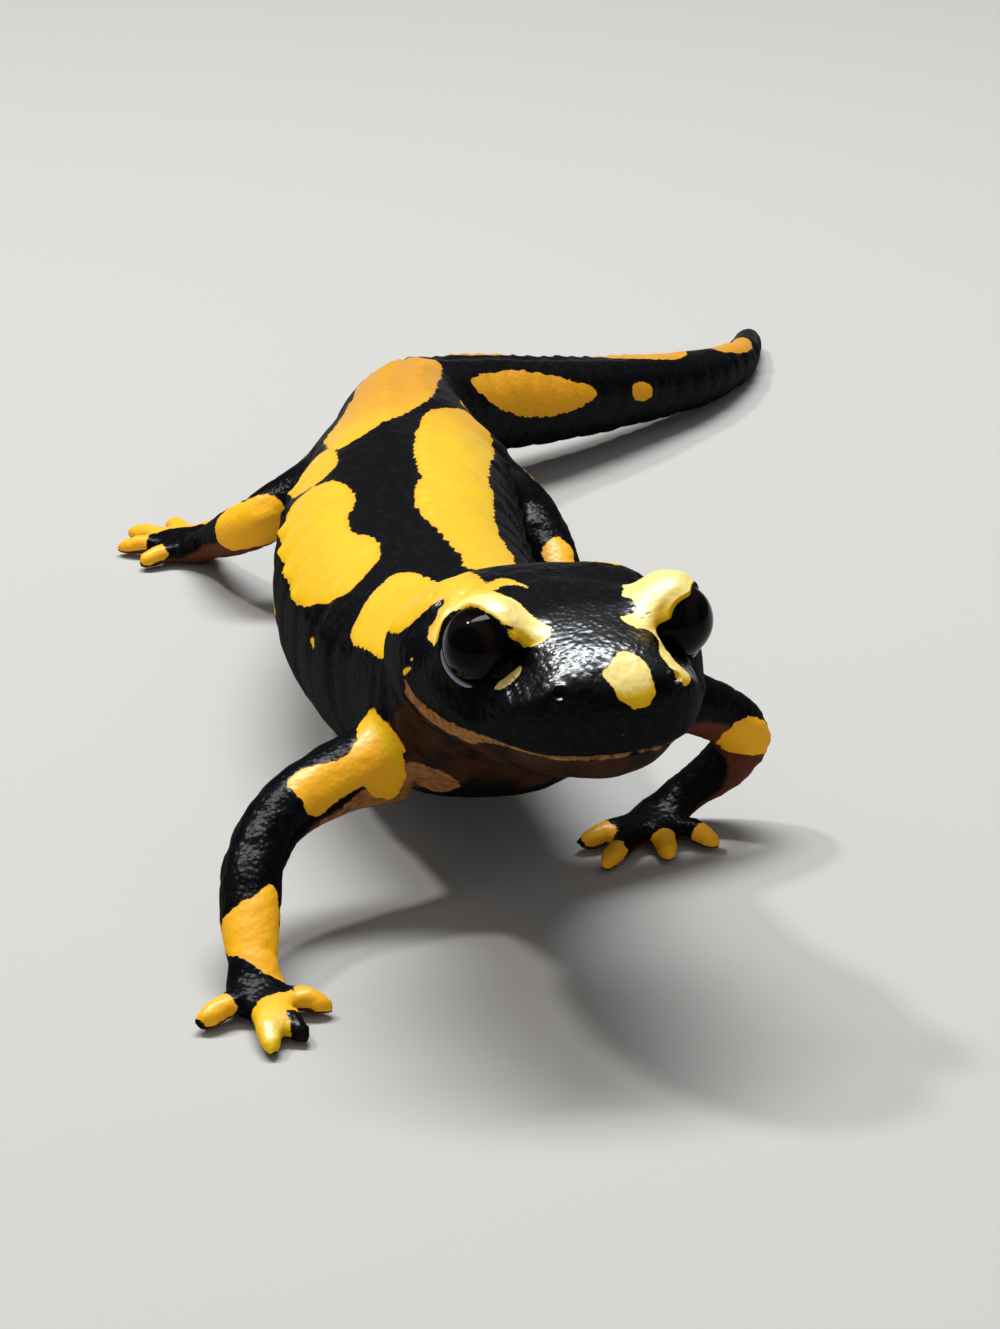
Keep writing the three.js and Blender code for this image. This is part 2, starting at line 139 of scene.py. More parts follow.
# Distance from the snout, half width, heights above and below the axis, and squareness (2 is an oval).
SECTIONS = np.array([
    (0, 4.4, 2.4, 4.2, 2.05), (2, 6.0, 3.1, 5.4, 2.0), (4, 7.3, 4.0, 6.0, 1.95), (6.5, 8.7, 4.9, 6.4, 1.85),
    (9, 9.7, 5.6, 6.7, 1.85), (13, 10.3, 6.0, 6.9, 1.9), (17, 10.6, 6.0, 6.9, 2.0),
    (21, 10.0, 6.0, 7.0, 2.05), (27, 8.5, 6.3, 7.4, 2.2), (34, 9.3, 7.0, 8.6, 2.2),
    (43, 10.1, 7.7, 8.9, 2.25), (52, 10.5, 8.1, 8.6, 2.3), (64, 10.9, 8.3, 8.4, 2.3),
    (76, 10.7, 8.2, 8.3, 2.3), (86, 9.9, 7.7, 7.9, 2.25), (96, 8.6, 7.0, 7.3, 2.2),
    (104, 7.0, 6.4, 6.6, 2.15), (112, 5.9, 5.9, 6.0, 2.1), (121, 5.2, 5.3, 5.3, 2.1),
    (134, 4.5, 4.6, 4.6, 2.05), (147, 3.7, 3.8, 3.9, 2), (160, 3.0, 3.1, 3.2, 2), (173, 2.2, 2.3, 2.4, 2),
    (185, 1.4, 1.4, 1.5, 2),
])
# How far from each end the body is rounded off.
SNOUT_ROUND = 2.9
TAIL_ROUND = 2.4

# %% Any place along the spine, and its section
dense_places = np.linspace(0, len(SPINE) - 1, 8001)
dense_steps = np.linalg.norm(np.diff(path_at(SPINE, dense_places), axis=0), axis=1)
travel = np.concatenate([[0], np.cumsum(dense_steps)])
BODY_LENGTH = travel[-1]
print("length along the axis:", round(BODY_LENGTH, 1), "mm")


def spine_frame(at):
    """Point, direction to the tail, right and up of the spine, at distances from the snout."""
    return path_frame(SPINE, np.interp(at, travel, dense_places))


def sections_at(at):
    """Half width, top, bottom and squareness: a cubic through the stations, whose slope at a station is the
    rise between its two neighbours over the distance between them. Both ends are rounded off to nothing."""
    stations, values = SECTIONS[:, 0], SECTIONS[:, 1:]
    number = np.arange(len(stations))
    before, after = np.maximum(number - 1, 0), np.minimum(number + 1, len(stations) - 1)
    slopes = (values[after] - values[before]) / (stations[after] - stations[before])[:, None]
    i = np.clip(np.searchsorted(stations, at, side="right") - 1, 0, len(stations) - 2)
    step = (stations[i + 1] - stations[i])[:, None]
    t = np.clip((at - stations[i])[:, None] / step, 0, 1)
    shape = (
        (2 * t**3 - 3 * t**2 + 1) * values[i] + (t**3 - 2 * t**2 + t) * step * slopes[i]
        + (3 * t**2 - 2 * t**3) * values[i + 1] + (t**3 - t**2) * step * slopes[i + 1]
    )
    # A power of 2 would make the snout round. A little more makes it blunter.
    snout = 1 - np.clip(at / SNOUT_ROUND, 0, 1)
    tip = 1 - np.clip((BODY_LENGTH - at) / TAIL_ROUND, 0, 1)
    rounding = np.sqrt(np.maximum(1 - snout**2.2, 0)) * np.sqrt(np.maximum(1 - tip**2, 0))
    shape[:, :3] *= rounding[:, None]
    return shape.T


# %% [markdown]
# ## Rings become a surface
# A profile carried along a path gives rings of points. Joined ring to ring, with a fan over each end, they
# are a closed surface. All of it is index arithmetic, so no loop over points is needed.

# %% Surfaces from rings
def closed_over(rings):
    """Points and triangles of the surface over rings that all have as many points. Point k of ring r joins
    point k + 1 of the same ring and point k of the next, and the middle of each end ring closes it."""
    count, sides = rings.shape[:2]
    r, k = np.meshgrid(np.arange(count - 1), np.arange(sides), indexing="ij")
    a, b = r * sides + k, r * sides + (k + 1) % sides
    halves = [np.stack([a, b, b + sides], -1), np.stack([a, b + sides, a + sides], -1)]
    wall = np.concatenate(halves).reshape(-1, 3)
    k = np.arange(sides)
    ring, first, last = (k + 1) % sides, count * sides, (count - 1) * sides
    start = np.stack([np.full(sides, first), ring, k], -1)
    stop = np.stack([np.full(sides, first + 1), last + k, last + ring], -1)
    points = np.concatenate([rings.reshape(-1, 3), rings[[0, -1]].mean(1)])
    return points, np.concatenate([wall, start, stop])


def squared(wave, full):
    """A cosine or sine raised to 2 over the squareness, with its sign kept: an oval at 2, a box at
    infinity."""
    return np.sign(wave) * np.abs(wave) ** (2 / full)


def body_surface(spacing, sides):
    """Rings of the squarish oval along the spine, crowded at both ends as the rings of a ball are."""
    inner = np.linspace(SNOUT_ROUND, BODY_LENGTH - TAIL_ROUND, int(BODY_LENGTH / spacing))
    quarter = np.linspace(0.02, 1, 12)[:-1]
    nose = SNOUT_ROUND * (1 - np.cos(quarter * np.pi / 2))
    at = np.concatenate([nose, inner, BODY_LENGTH - (nose * TAIL_ROUND / SNOUT_ROUND)[::-1]])
    middle, _, right, up = spine_frame(at)
    half, top, bottom, full = (v[:, None] for v in sections_at(at))
    turn = np.linspace(0, 2 * np.pi, sides, endpoint=False)[None, :]
    height = np.where(np.sin(turn) > 0, top, bottom)
    across = (half * squared(np.cos(turn), full))[..., None] * right[:, None]
    over = (height * squared(np.sin(turn), full))[..., None] * up[:, None]
    return closed_over(middle[:, None] + across + over)


body_made = body_surface(spacing=0.6, sides=112)
print("body surface:", len(body_made[1]), "triangles")


# %% [markdown]
# ## Limbs
# A limb is a tube through shoulder or hip, elbow or knee, wrist or ankle, palm or sole, and knuckles. Digits
# fan out from the palm, four on each hand and five on each foot, and rise a little at their middle.

# %% Paths and thicknesses of the four limbs
# Half widths and half heights at the points of a limb's path.
ARM_HALF = [3.1, 2.7, 2.35, 2.3, 2.25, 1.95, 2.3, 1.9]
ARM_HIGH = [3.2, 2.75, 2.35, 2.2, 2.0, 1.55, 1.35, 1.15]
LEG_HALF = [3.4, 3.0, 2.7, 2.4, 2.2, 1.85, 2.4, 2.1]
LEG_HIGH = [3.4, 3.0, 2.7, 2.4, 2.1, 1.6, 1.4, 1.2]
# Digits are given by their turn from the palm's direction, counterclockwise from above, and by their reach.
LIMBS = {
    "arm_right": dict(
        half=ARM_HALF, high=ARM_HIGH,
        path=[(-4, -55.8, 11.2), (-8.6, -58.6, 10.6), (-12.2, -61.8, 9.3), (-14, -66, 7.3),
              (-14.1, -69.8, 5), (-13.8, -72.7, 3), (-13.3, -75.3, 1.2), (-12.6, -77.2, 1.05)],
        digits=[(-67, 5.7), (-9, 8.0), (12, 7.0), (58, 5.6)],
    ),
    "arm_left": dict(
        half=ARM_HALF, high=ARM_HIGH,
        path=[(9.5, -51.5, 14), (15.4, -48.6, 13.2), (20.4, -46, 11.2), (23, -44.2, 8.2),
              (21.6, -43.2, 5.2), (18.8, -43.2, 2.9), (16.2, -44.8, 1.2), (15.2, -46.6, 1.05)],
        digits=[(82, 6.3), (38, 6.5), (1, 9.2), (-28, 7.4)],
    ),
    "leg_right": dict(
        half=LEG_HALF, high=LEG_HIGH,
        path=[(-5, 8.5, 11.5), (-10, 8, 11), (-14.6, 6, 9.9), (-17.9, 5.2, 8.2),
              (-20.7, 9, 5.6), (-22.8, 13.6, 3.2), (-24.8, 17, 1.25), (-26.4, 19.2, 1.1)],
        digits=[(-46, 7.7), (-17, 9.2), (12, 9.2), (42, 7.8), (84, 5.8)],
    ),
    "leg_left": dict(
        half=LEG_HALF, high=LEG_HIGH,
        path=[(-2, 8, 11.5), (2.8, 5.6, 11.2), (6.4, 1.2, 10.2), (8.3, -3, 8.4),
              (9.4, -7.4, 5.7), (10.5, -11.4, 3.2), (11.8, -14.8, 1.25), (12.6, -17, 1.1)],
        digits=[(70, 6.3), (36, 8.5), (9, 9.2), (-17, 8.3), (-53, 5.9)],
    ),
}
PALM_FROM = 4.9
DIGIT_THICK = [1.05, 0.95, 0.78]
DIGIT_MIDDLE_UP, DIGIT_TIP_UP = 1.3, 0.66
# Where a digit's root and middle lie, as parts of its reach.
DIGIT_ROOT, DIGIT_MIDDLE = 0.12, 0.6
# The part of a digit or of a palm that is rounded off, and how thin it gets, as a part of its thickness.
TIP_ROUND, TIP_LEAST = 0.3, 0.12
LIMB_NET, DIGIT_NET = dict(rings=90, sides=40), dict(rings=26, sides=24)


# %% Tubes for limbs and digits
def digit_path(palm, ahead, turn, reach):
    """Root, middle and tip of a digit, out from the palm along the turned direction."""
    c, s = np.cos(np.radians(turn)), np.sin(np.radians(turn))
    out = reach * np.array([c * ahead[0] - s * ahead[1], s * ahead[0] + c * ahead[1], 0])
    points = palm + np.outer([DIGIT_ROOT, DIGIT_MIDDLE, 1], out)
    points[1:, 2] = DIGIT_MIDDLE_UP, DIGIT_TIP_UP
    return points


def tube_frame(tube, places):
    """Axis point, right, up, half width and half height of a tube at places counted in points of its path."""
    middle, _, right, up = path_frame(tube["path"], places)
    half = path_at(tube["half"], places, chord_power=0)[:, 0]
    high = path_at(tube["high"], places, chord_power=0)[:, 0]
    return middle, right, up, half, high


def tube_surface(tube, rings, sides):
    """Ovals along a path. Over its last stretch the tube closes as the quarter of a circle does."""
    last = len(tube["path"]) - 1
    places = last * np.sin(np.linspace(0, np.pi / 2, rings))
    middle, right, up, half, high = tube_frame(tube, places)
    left_over = np.clip((last - places) / (last - tube["round_from"]), 0, 1)
    shrink = np.maximum(np.sqrt(1 - (1 - left_over) ** 2), TIP_LEAST)
    turn = np.linspace(0, 2 * np.pi, sides, endpoint=False)
    across = (shrink * half)[:, None, None] * np.cos(turn)[None, :, None] * right[:, None]
    over = (shrink * high)[:, None, None] * np.sin(turn)[None, :, None] * up[:, None]
    return closed_over(middle[:, None] + across + over)


tubes = []
for name, limb in LIMBS.items():
    path = np.array(limb["path"], float)
    end = len(path) - 1
    whole = dict(name=name, path=path, half=limb["half"], high=limb["high"], digit=0)
    whole["round_from"] = end - TIP_ROUND * (end - PALM_FROM)
    tubes.append(whole)
    ahead = unit((path[-1] - path[-2]) * [1, 1, 0])
    for number, (turn, reach) in enumerate(limb["digits"], 1):
        tubes.append(dict(name=name, path=digit_path(path[-2], ahead, turn, reach), half=DIGIT_THICK,
                          high=DIGIT_THICK, digit=number, round_from=2 - 2 * TIP_ROUND))
limb_made = [tube_surface(t, **(DIGIT_NET if t["digit"] else LIMB_NET)) for t in tubes]
print("limb and digit tubes:", len(tubes))

# %% [markdown]
# ## Eyes and their lids
# Each eyeball sits half out of the head under a thick lid. For the skin, a slightly larger ball stands for
# the brow and lids. It is opened later, once the skin is one surface.

# %% Lid balls
EYE_RADIUS = 2.9
LID_RADIUS = 3.55
EYE_SIDE = 6.85
EYE_GAZE = unit(np.array([0.71, 0.66, 0.2]))
SIDES = {"left": 1, "right": -1}


def ball(centre, radius, rings=40, sides=48):
    """Rings of latitude of a ball."""
    latitude = np.linspace(0.01, np.pi - 0.01, rings)[:, None]
    turn = np.linspace(0, 2 * np.pi, sides, endpoint=False)[None, :]
    shape = [np.sin(latitude) * np.cos(turn), np.sin(latitude) * np.sin(turn), -np.cos(latitude) + 0 * turn]
    return closed_over(centre + radius * np.stack(shape, -1))


eye_centres = {side: in_head([sign * EYE_SIDE, 0, 0]) for side, sign in SIDES.items()}
lids_made = [ball(centre, LID_RADIUS) for centre in eye_centres.values()]

# %% [markdown]
# ## One skin over everything
# The tubes run into each other. A voxel remesh fills them all and lays one even net over the outside, which
# is how a sculptor fuses blocked-out forms. Its steps are then smoothed away. A plain smoothing shrinks a
# shape, so each step inwards is followed by one outwards (Taubin's way).


# %% A mesh from points, and the remesh
def joined(parts):
    """Several surfaces as one list of points and triangles."""
    starts = np.cumsum([0] + [len(points) for points, _ in parts[:-1]])
    return np.concatenate([p for p, _ in parts]), np.concatenate([t + s for (_, t), s in zip(parts, starts)])


def mesh_object(name, points, triangles):
    """A mesh object from points in millimetres and triangles, shaded smooth."""
    mesh = bpy.data.meshes.new(name)
    mesh.vertices.add(len(points))
    mesh.vertices.foreach_set("co", np.asarray(points * MM, np.float32).ravel())
    mesh.loops.add(triangles.size)
    mesh.loops.foreach_set("vertex_index", triangles.ravel().astype(np.int32))
    mesh.polygons.add(len(triangles))
    mesh.polygons.foreach_set("loop_start", np.arange(0, triangles.size, 3, dtype=np.int32))
    mesh.polygons.foreach_set("use_smooth", np.ones(len(triangles), bool))
    mesh.update(calc_edges=True)
    made = bpy.data.objects.new(name, mesh)
    bpy.context.scene.collection.objects.link(made)
    return made


def store(piece, name, values):
    """A number for each point of a piece's mesh, which its finish can read."""
    layer = piece.data.attributes.new(name, "FLOAT", "POINT")
    layer.data.foreach_set("value", values.astype(np.float32))


def fused(points, triangles, voxel):
    """The outside of overlapping closed surfaces as one even net of squares, each cut into two triangles."""
    rough = mesh_object("rough", points, triangles)
    remesh = rough.modifiers.new("fuse", "REMESH")
    remesh.mode = "VOXEL"
    remesh.voxel_size = voxel * MM
    evaluated = rough.evaluated_get(bpy.context.evaluated_depsgraph_get())
    net = bpy.data.meshes.new_from_object(evaluated)
    co = np.empty(len(net.vertices) * 3)
    net.vertices.foreach_get("co", co)
    net.calc_loop_triangles()
    corners = np.empty(len(net.loop_triangles) * 3, np.int32)
    net.loop_triangles.foreach_get("vertices", corners)
    bpy.data.objects.remove(rough)
    return co.reshape(-1, 3) / MM, corners.reshape(-1, 3).astype(np.int64)


# %% Smooth and refine a net
def edges_of(triangles, count):
    """Each edge once, and for each triangle the numbers of its three edges."""
    ends = np.sort(np.stack([triangles, np.roll(triangles, -1, axis=1)], -1), axis=-1)
    keys, which = np.unique(ends[..., 0] * count + ends[..., 1], return_inverse=True)
    return np.stack([keys // count, keys % count], -1), which.reshape(-1, 3)


def neighbour_mean(values, edges):
    """For each point, the mean of the values at the other ends of its edges."""
    values = values if values.ndim == 2 else values[:, None]
    a, b = edges.T
    count = len(values)
    number = np.bincount(a, minlength=count) + np.bincount(b, minlength=count)
    sums = [
        np.bincount(a, column[b], count) + np.bincount(b, column[a], count) for column in values.T
    ]
    return np.stack(sums, -1) / np.maximum(number, 1)[:, None]


def smoothed(points, edges, rounds, inwards=0.5, outwards=-0.53, share=1.0):
    """Each round moves a point towards the mean of its neighbours, then away from it a little more."""
    share = np.asarray(share, float)
    share = share[:, None] if share.ndim else share
    for _ in range(rounds):
        for step in (inwards, outwards):
            points = points + step * share * (neighbour_mean(points, edges) - points)
    return points


def normals_of(points, triangles):
    """The mean direction of the triangles round each point, larger ones counting for more."""
    a, b, c = points[triangles].transpose(1, 0, 2)
    across = np.cross(b - a, c - a)
    total = np.stack([
        sum(np.bincount(triangles[:, k], column, len(points)) for k in range(3)) for column in across.T
    ], -1)
    return unit(total)


# %% Part chosen triangles
def refined(points, triangles, chosen):
    """Each chosen triangle becomes four, with a new point in the middle of each side. A neighbour with one
    side parted becomes two, and one with two sides parted is treated as chosen."""
    edges, which = edges_of(triangles, len(points))
    cut = np.zeros(len(edges), bool)
    cut[which[chosen]] = True
    while (two := cut[which].sum(1) == 2).any():
        cut[which[two]] = True
    middle = np.full(len(edges), -1)
    middle[cut] = len(points) + np.arange(cut.sum())
    points = np.concatenate([points, points[edges[cut]].mean(1)])
    number, m = cut[which].sum(1), middle[which]
    whole = triangles[number == 0]
    single, single_m = triangles[number == 1], m[number == 1]
    first = single_m.argmax(1)[:, None]
    a, b, c = (np.take_along_axis(single, (first + k) % 3, 1)[:, 0] for k in range(3))
    d = single_m.max(1)
    full, (p, q, r) = triangles[number == 3], m[number == 3].T
    parts = [whole, np.stack([a, d, c], -1), np.stack([d, b, c], -1)]
    parts += [np.stack(t, -1) for t in (
        (full[:, 0], p, r), (p, full[:, 1], q), (r, q, full[:, 2]), (p, q, r)
    )]
    return points, np.concatenate(parts)


# %% Fuse the tubes
VOXEL = 0.5
points, triangles = fused(*joined([body_made, *limb_made, *lids_made]), VOXEL)
edges, _ = edges_of(triangles, len(points))
points = smoothed(points, edges, rounds=8)
print("fused net:", len(points), "points,", len(triangles), "triangles")


# %% [markdown]
# ## Where on the animal is a point?
# Folds and markings follow the body, so each point of the skin needs an address: how far along the spine it
# is, and how far round from the middle of the back. On a limb it is the place along the limb and the side of
# it. The same sums tell how far a point lies outside each form, which is what the fillets between forms need.

# %% Addresses on the body and on a limb
def nearest_row(points, targets, chunk=16384):
    """For each point, the number of the nearest target."""
    half_squares = (targets**2).sum(1) / 2
    return np.concatenate([
        np.argmin(half_squares - points[i:i + chunk] @ targets.T, axis=1)
        for i in range(0, len(points), chunk)
    ])


SPINE_STEP = 0.4
TUBE_STEPS = 24
spine_steps = np.arange(0, BODY_LENGTH, SPINE_STEP)
spine_line = spine_frame(spine_steps)


def body_address(points):
    """Distance from the snout, turn from the middle of the back with left positive, distance round the body,
    and how far outside the body's own surface a point is."""
    near = nearest_row(points, spine_line[0])
    at = spine_steps[near] + ((points - spine_line[0][near]) * spine_line[1][near]).sum(1)
    middle, _, right, up = spine_frame(np.clip(at, 0, BODY_LENGTH))
    half, top, bottom, full = sections_at(np.clip(at, 0.35, BODY_LENGTH - 0.25))
    left, height = -((points - middle) * right).sum(1), ((points - middle) * up).sum(1)
    tall = np.where(height > 0, top, bottom)
    size = (np.abs(left / half) ** full + np.abs(height / tall) ** full) ** (1 / full)
    mean = (half + (top + bottom) / 2) / 2
    turn = np.arctan2(left / half, height / tall)
    return at, turn, turn * mean, (size - 1) * mean


def tube_address(points, tube):
    """Place along a tube in points of its path, turn round it from its top, and distance outside its
    surface."""
    last = len(tube["path"]) - 1
    places = np.linspace(0, last, TUBE_STEPS * last + 1)
    middle, right, up, half, high = tube_frame(tube, places)
    near = nearest_row(points, middle)
    out = points - middle[near]
    across, over = (out * right[near]).sum(1), (out * up[near]).sum(1)
    along = unit(np.gradient(middle, axis=0))[near]
    beyond = (out * along).sum(1) * ((near == last * TUBE_STEPS) | (near == 0))
    size = np.sqrt((across / half[near]) ** 2 + (over / high[near]) ** 2 + (beyond / high[near]) ** 2)
    return places[near], np.arctan2(across, over), (size - 1) * (half[near] + high[near]) / 2


def fields_of(points):
    """Distances outside the body, the four limbs, the digits and the lids, one row each."""
    body = body_address(points)[3]
    limbs = [tube_address(points, tube)[2] for tube in tubes]
    lids = [np.linalg.norm(points - centre, axis=1) - LID_RADIUS for centre in eye_centres.values()]
    return np.stack([body, *limbs, *lids])


# %% [markdown]
# ## Fillets
# Where a limb leaves the trunk, flesh and skin bridge the corner. Two forms blend softly if, wherever both
# surfaces are near, the skin moves out by a little that is most in the corner itself.

# %% Fillets between the forms
BLEND_LIMB, BLEND_DIGIT, BLEND_LID = 3.4, 1.0, 2.2
CORNER_WITHIN = 1.2
CORNER_ROUNDS = 14


def filleted(points, triangles, edges):
    """With a and b the two least distances to the forms and k the reach, a point moves out by
    k / 4 * (1 - (b - a) / k) ** 2, and the corner is then eased a little."""
    fields = fields_of(points)
    tube_reach = [BLEND_DIGIT if t["digit"] else BLEND_LIMB for t in tubes]
    reach = np.array([BLEND_LIMB, *tube_reach, BLEND_LID, BLEND_LID])
    order = np.argsort(fields, axis=0)[:2]
    least, second = np.take_along_axis(fields, order, 0)
    k = np.minimum(reach[order[0]], reach[order[1]])
    corner = np.clip(1 - (second - least) / k, 0, 1) ** 2
    corner *= least < CORNER_WITHIN
    soft = neighbour_mean(neighbour_mean(corner[:, None], edges), edges)[:, 0]
    points = points + normals_of(points, triangles) * (k / 4 * soft)[:, None]
    return smoothed(points, edges, CORNER_ROUNDS, outwards=0, share=np.clip(1.6 * soft, 0, 1))


points = filleted(points, triangles, edges)

# %% [markdown]
# ## A finer net where it matters
# Lips, lids and nostrils are folds of two or three tenths of a millimetre. The head gets its triangles parted
# once, and the eyes, the mouth and the nostrils once more, so the net stays light elsewhere.

# %% Finer head
MOUTH_LINE = np.array([
    (11, -7.2), (8.6, -7.1), (6, -6.8), (3, -6.4), (0, -6.5), (-3, -6.9), (-5, -6.3), (-6.4, -5.2),
    (-7.6, -4.2),
])
NOSTRIL = np.array([4.1, 7.1, -2.3])
NEAR_EYE, NEAR_MOUTH, NEAR_NOSTRIL = 4.5, 0.7, 1.2
MOUTH_CORNER = -8.4


def mouth_height(forward):
    """Height of the mouth line in the head at a distance forward of the eyes, along a smooth path."""
    places = np.linspace(0, len(MOUTH_LINE) - 1, 200)
    line = path_at(MOUTH_LINE, places)[::-1]
    return np.interp(forward, line[:, 0], line[:, 1])


def ease(edge_from, edge_to, value):
    """0 before one edge and 1 past the other, with a soft start and stop between."""
    t = np.clip((value - edge_from) / (edge_to - edge_from), 0, 1)
    return t * t * (3 - 2 * t)


def hill(offset, width):
    """A smooth bump of height 1 and the given half width."""
    return np.exp(-((offset / width) ** 2))


def away_from(points, place):
    """Distance from a place in the head or from its mirror image, whichever is on the point's own side."""
    left, forward, up = to_head(points).T
    return np.linalg.norm(np.stack([np.abs(left), forward, up], -1) - place, axis=1)


def near_features(points):
    """True near the eyes, the mouth and the nostrils."""
    _, forward, up = to_head(points).T
    eyes = away_from(points, [EYE_SIDE, 0, 0]) < NEAR_EYE
    mouth = (np.abs(up - mouth_height(forward)) < NEAR_MOUTH) & (forward > MOUTH_CORNER)
    nostrils = away_from(points, NOSTRIL) < NEAR_NOSTRIL
    return (eyes | mouth | nostrils) & (forward > -10)


at = body_address(points)[0]
on_head = (at < 20) & (to_head(points)[:, 2] > -12)
points, triangles = refined(points, triangles, on_head[triangles].all(1))
edges, _ = edges_of(triangles, len(points))
points = smoothed(points, edges, rounds=3, share=(body_address(points)[0] < 21).astype(float))
points, triangles = refined(points, triangles, near_features(points)[triangles].all(1))
edges, _ = edges_of(triangles, len(points))
points = smoothed(points, edges, rounds=2, share=near_features(points).astype(float))
print("after refining:", len(points), "points,", len(triangles), "triangles")

# %% [markdown]
# ## Lids
# Seen from the eyeball's centre, the skin in front of the eye is pushed in behind the eyeball, so it never
# shows, and at a certain angle from the gaze it comes up steeply past the eyeball's surface. That step is the
# free edge of the lids. The angle differs round the eye: the brow droops over its upper front, and the
# opening is widest below.

# %% Open the lids
# Opening angle from the gaze every thirty degrees round the eye, from up over the front, down and the back.
LID_OPENING = {
    "right": [62, 55, 59, 73, 80, 71, 78, 71, 66, 65, 68, 74],
    "left": [42, 40, 59, 69, 76, 77, 76, 71, 66, 62, 55, 46],
}
LID_INSIDE, LID_RIM, LID_ROLL = 2.3, 2.95, 3.22


def gaze_axes(side):
    """The gaze of an eye, up square to it, and forward square to both, in the head's directions."""
    gaze = EYE_GAZE * [SIDES[side], 1, 1]
    up = unit(np.array([0, 0, 1]) - gaze * gaze[2])
    return gaze, up, unit(np.array([0, 1, 0]) - gaze * gaze[1] - up * up[1])


def eye_angles(points, side):
    """Angle from the gaze, clock turn round it from up towards the snout, and distance from the centre."""
    gaze, up, front = gaze_axes(side)
    out = to_head(points) - [SIDES[side] * EYE_SIDE, 0, 0]
    distance = np.linalg.norm(out, axis=1)
    angle = np.degrees(np.arccos(np.clip(out @ gaze / np.maximum(distance, 1e-9), -1, 1)))
    clock = np.degrees(np.arctan2(out @ front, out @ up)) % 360
    return angle, clock, distance


def opening_at(clock, side):
    """The lids' opening angle at turns round the gaze, a smooth curve through the given ones."""
    opening = LID_OPENING[side]
    return path_at(opening + opening[:1], clock * len(opening) / 360, chord_power=0)[:, 0]


def beyond_lid(points, side):
    """Degrees past the free edge of the lids, seen from the eye's centre, and distance from that centre."""
    angle, clock, distance = eye_angles(points, side)
    turns = np.linspace(0, 360, 97)
    return angle - np.interp(clock, turns, opening_at(turns, side)), distance


def with_lids(points):
    """The distance from the eye's centre goes from behind the eyeball steeply up to the rim at the free edge,
    swells to a rolled lid in the next four degrees, and is the skin's own again at twenty-four."""
    for side in SIDES:
        beyond, distance = beyond_lid(points, side)
        wanted = LID_INSIDE + (LID_RIM - LID_INSIDE) * ease(-6, 0, beyond)
        wanted += (LID_ROLL - LID_RIM) * ease(0, 4, beyond)
        keep = ease(4, 24, beyond)
        wanted = wanted * (1 - keep) + distance * keep
        past_close = ease(4.6, 5.4, distance) * ease(-10, 4, beyond)
        close = 1 - np.maximum(past_close, ease(5.2, 6.0, distance))
        moved = distance + (wanted - distance) * close
        points = eye_centres[side] + (points - eye_centres[side]) * (moved / distance)[:, None]
    return points


# %% [markdown]
# ## Hollows before the eyes
# The animal looks forward past its muzzle, which is hollow in front of each eye. Two steps make that: a soft
# press of the muzzle's side, and a funnel pared into the skin along the line of sight.

# %% Press and pare
HOLLOW_PLACE = np.array([6.2, 4.0, -1.0])
HOLLOW_PRESS = np.array([-0.75, -0.25, -0.6])
HOLLOW_DEPTH, HOLLOW_REACH = 1.2, 2.3
SCOOP_AXIS = unit(np.array([0.32, 0.92, 0.24]))
SCOOP_RADIUS, SCOOP_FLOOR, SCOOP_SLOPE = 2.55, 1.2, 1.8


def with_hollows(points):
    """In front of each eye the side of the muzzle is pressed in, most in one place and nothing a few
    millimetres away, all along one direction so that the net doesn't fold."""
    for sign in SIDES.values():
        away = np.linalg.norm(to_head(points) - HOLLOW_PLACE * [sign, 1, 1], axis=1)
        press = unit(HOLLOW_PRESS * [sign, 1, 1]) @ HEAD_AXES
        points = points + HOLLOW_DEPTH * hill(away, HOLLOW_REACH)[:, None] * press
    return points


def with_scoops(points):
    """The lower front of each eye looks forward past the muzzle. The skin there is pared down along that line
    of sight to a funnel that starts at the eyeball and rises by the slope for each millimetre away from
    it."""
    for sign in SIDES.values():
        sight = SCOOP_AXIS * [sign, 1, 1]
        inner = unit(np.array([-sign, 0, 0]) + sight * sight[0] * sign)
        lower = unit(np.array([0, 0, -1]) + sight * sight[2] + inner * inner[2])
        out = to_head(points) - [sign * EYE_SIDE, 0, 0]
        along, radius = out @ sight, np.hypot(out @ inner, out @ lower)
        turn = np.degrees(np.arctan2(out @ lower, out @ inner))
        excess = along - SCOOP_FLOOR - SCOOP_SLOPE * (radius - SCOOP_RADIUS)
        pared = (excess + np.hypot(excess, 0.15)) / 2 * ease(-5, 18, turn) * (1 - ease(90, 120, turn))
        pared *= (along > 0) * (1 - ease(4.5, 6, radius))
        points = points - pared[:, None] * (sight @ HEAD_AXES)
    return points


# %% [markdown]
# ## Even skin round the eyes
# Skin that was pulled in has long triangles, which would show as teeth along the edge of a patch. Those are
# parted twice. Then the skin is smoothed outside the lids, whose free edge stays as sharp as it is. At the
# front corner of the lids, where the most was pared away, all of it is smoothed, and longest.

# %% Shape and smooth the skin round the eyes
LONG_SIDE = 0.4
EYES_WITHIN = 5.2
LID_CORNER = np.array([6.1, 2.8, -1.9])

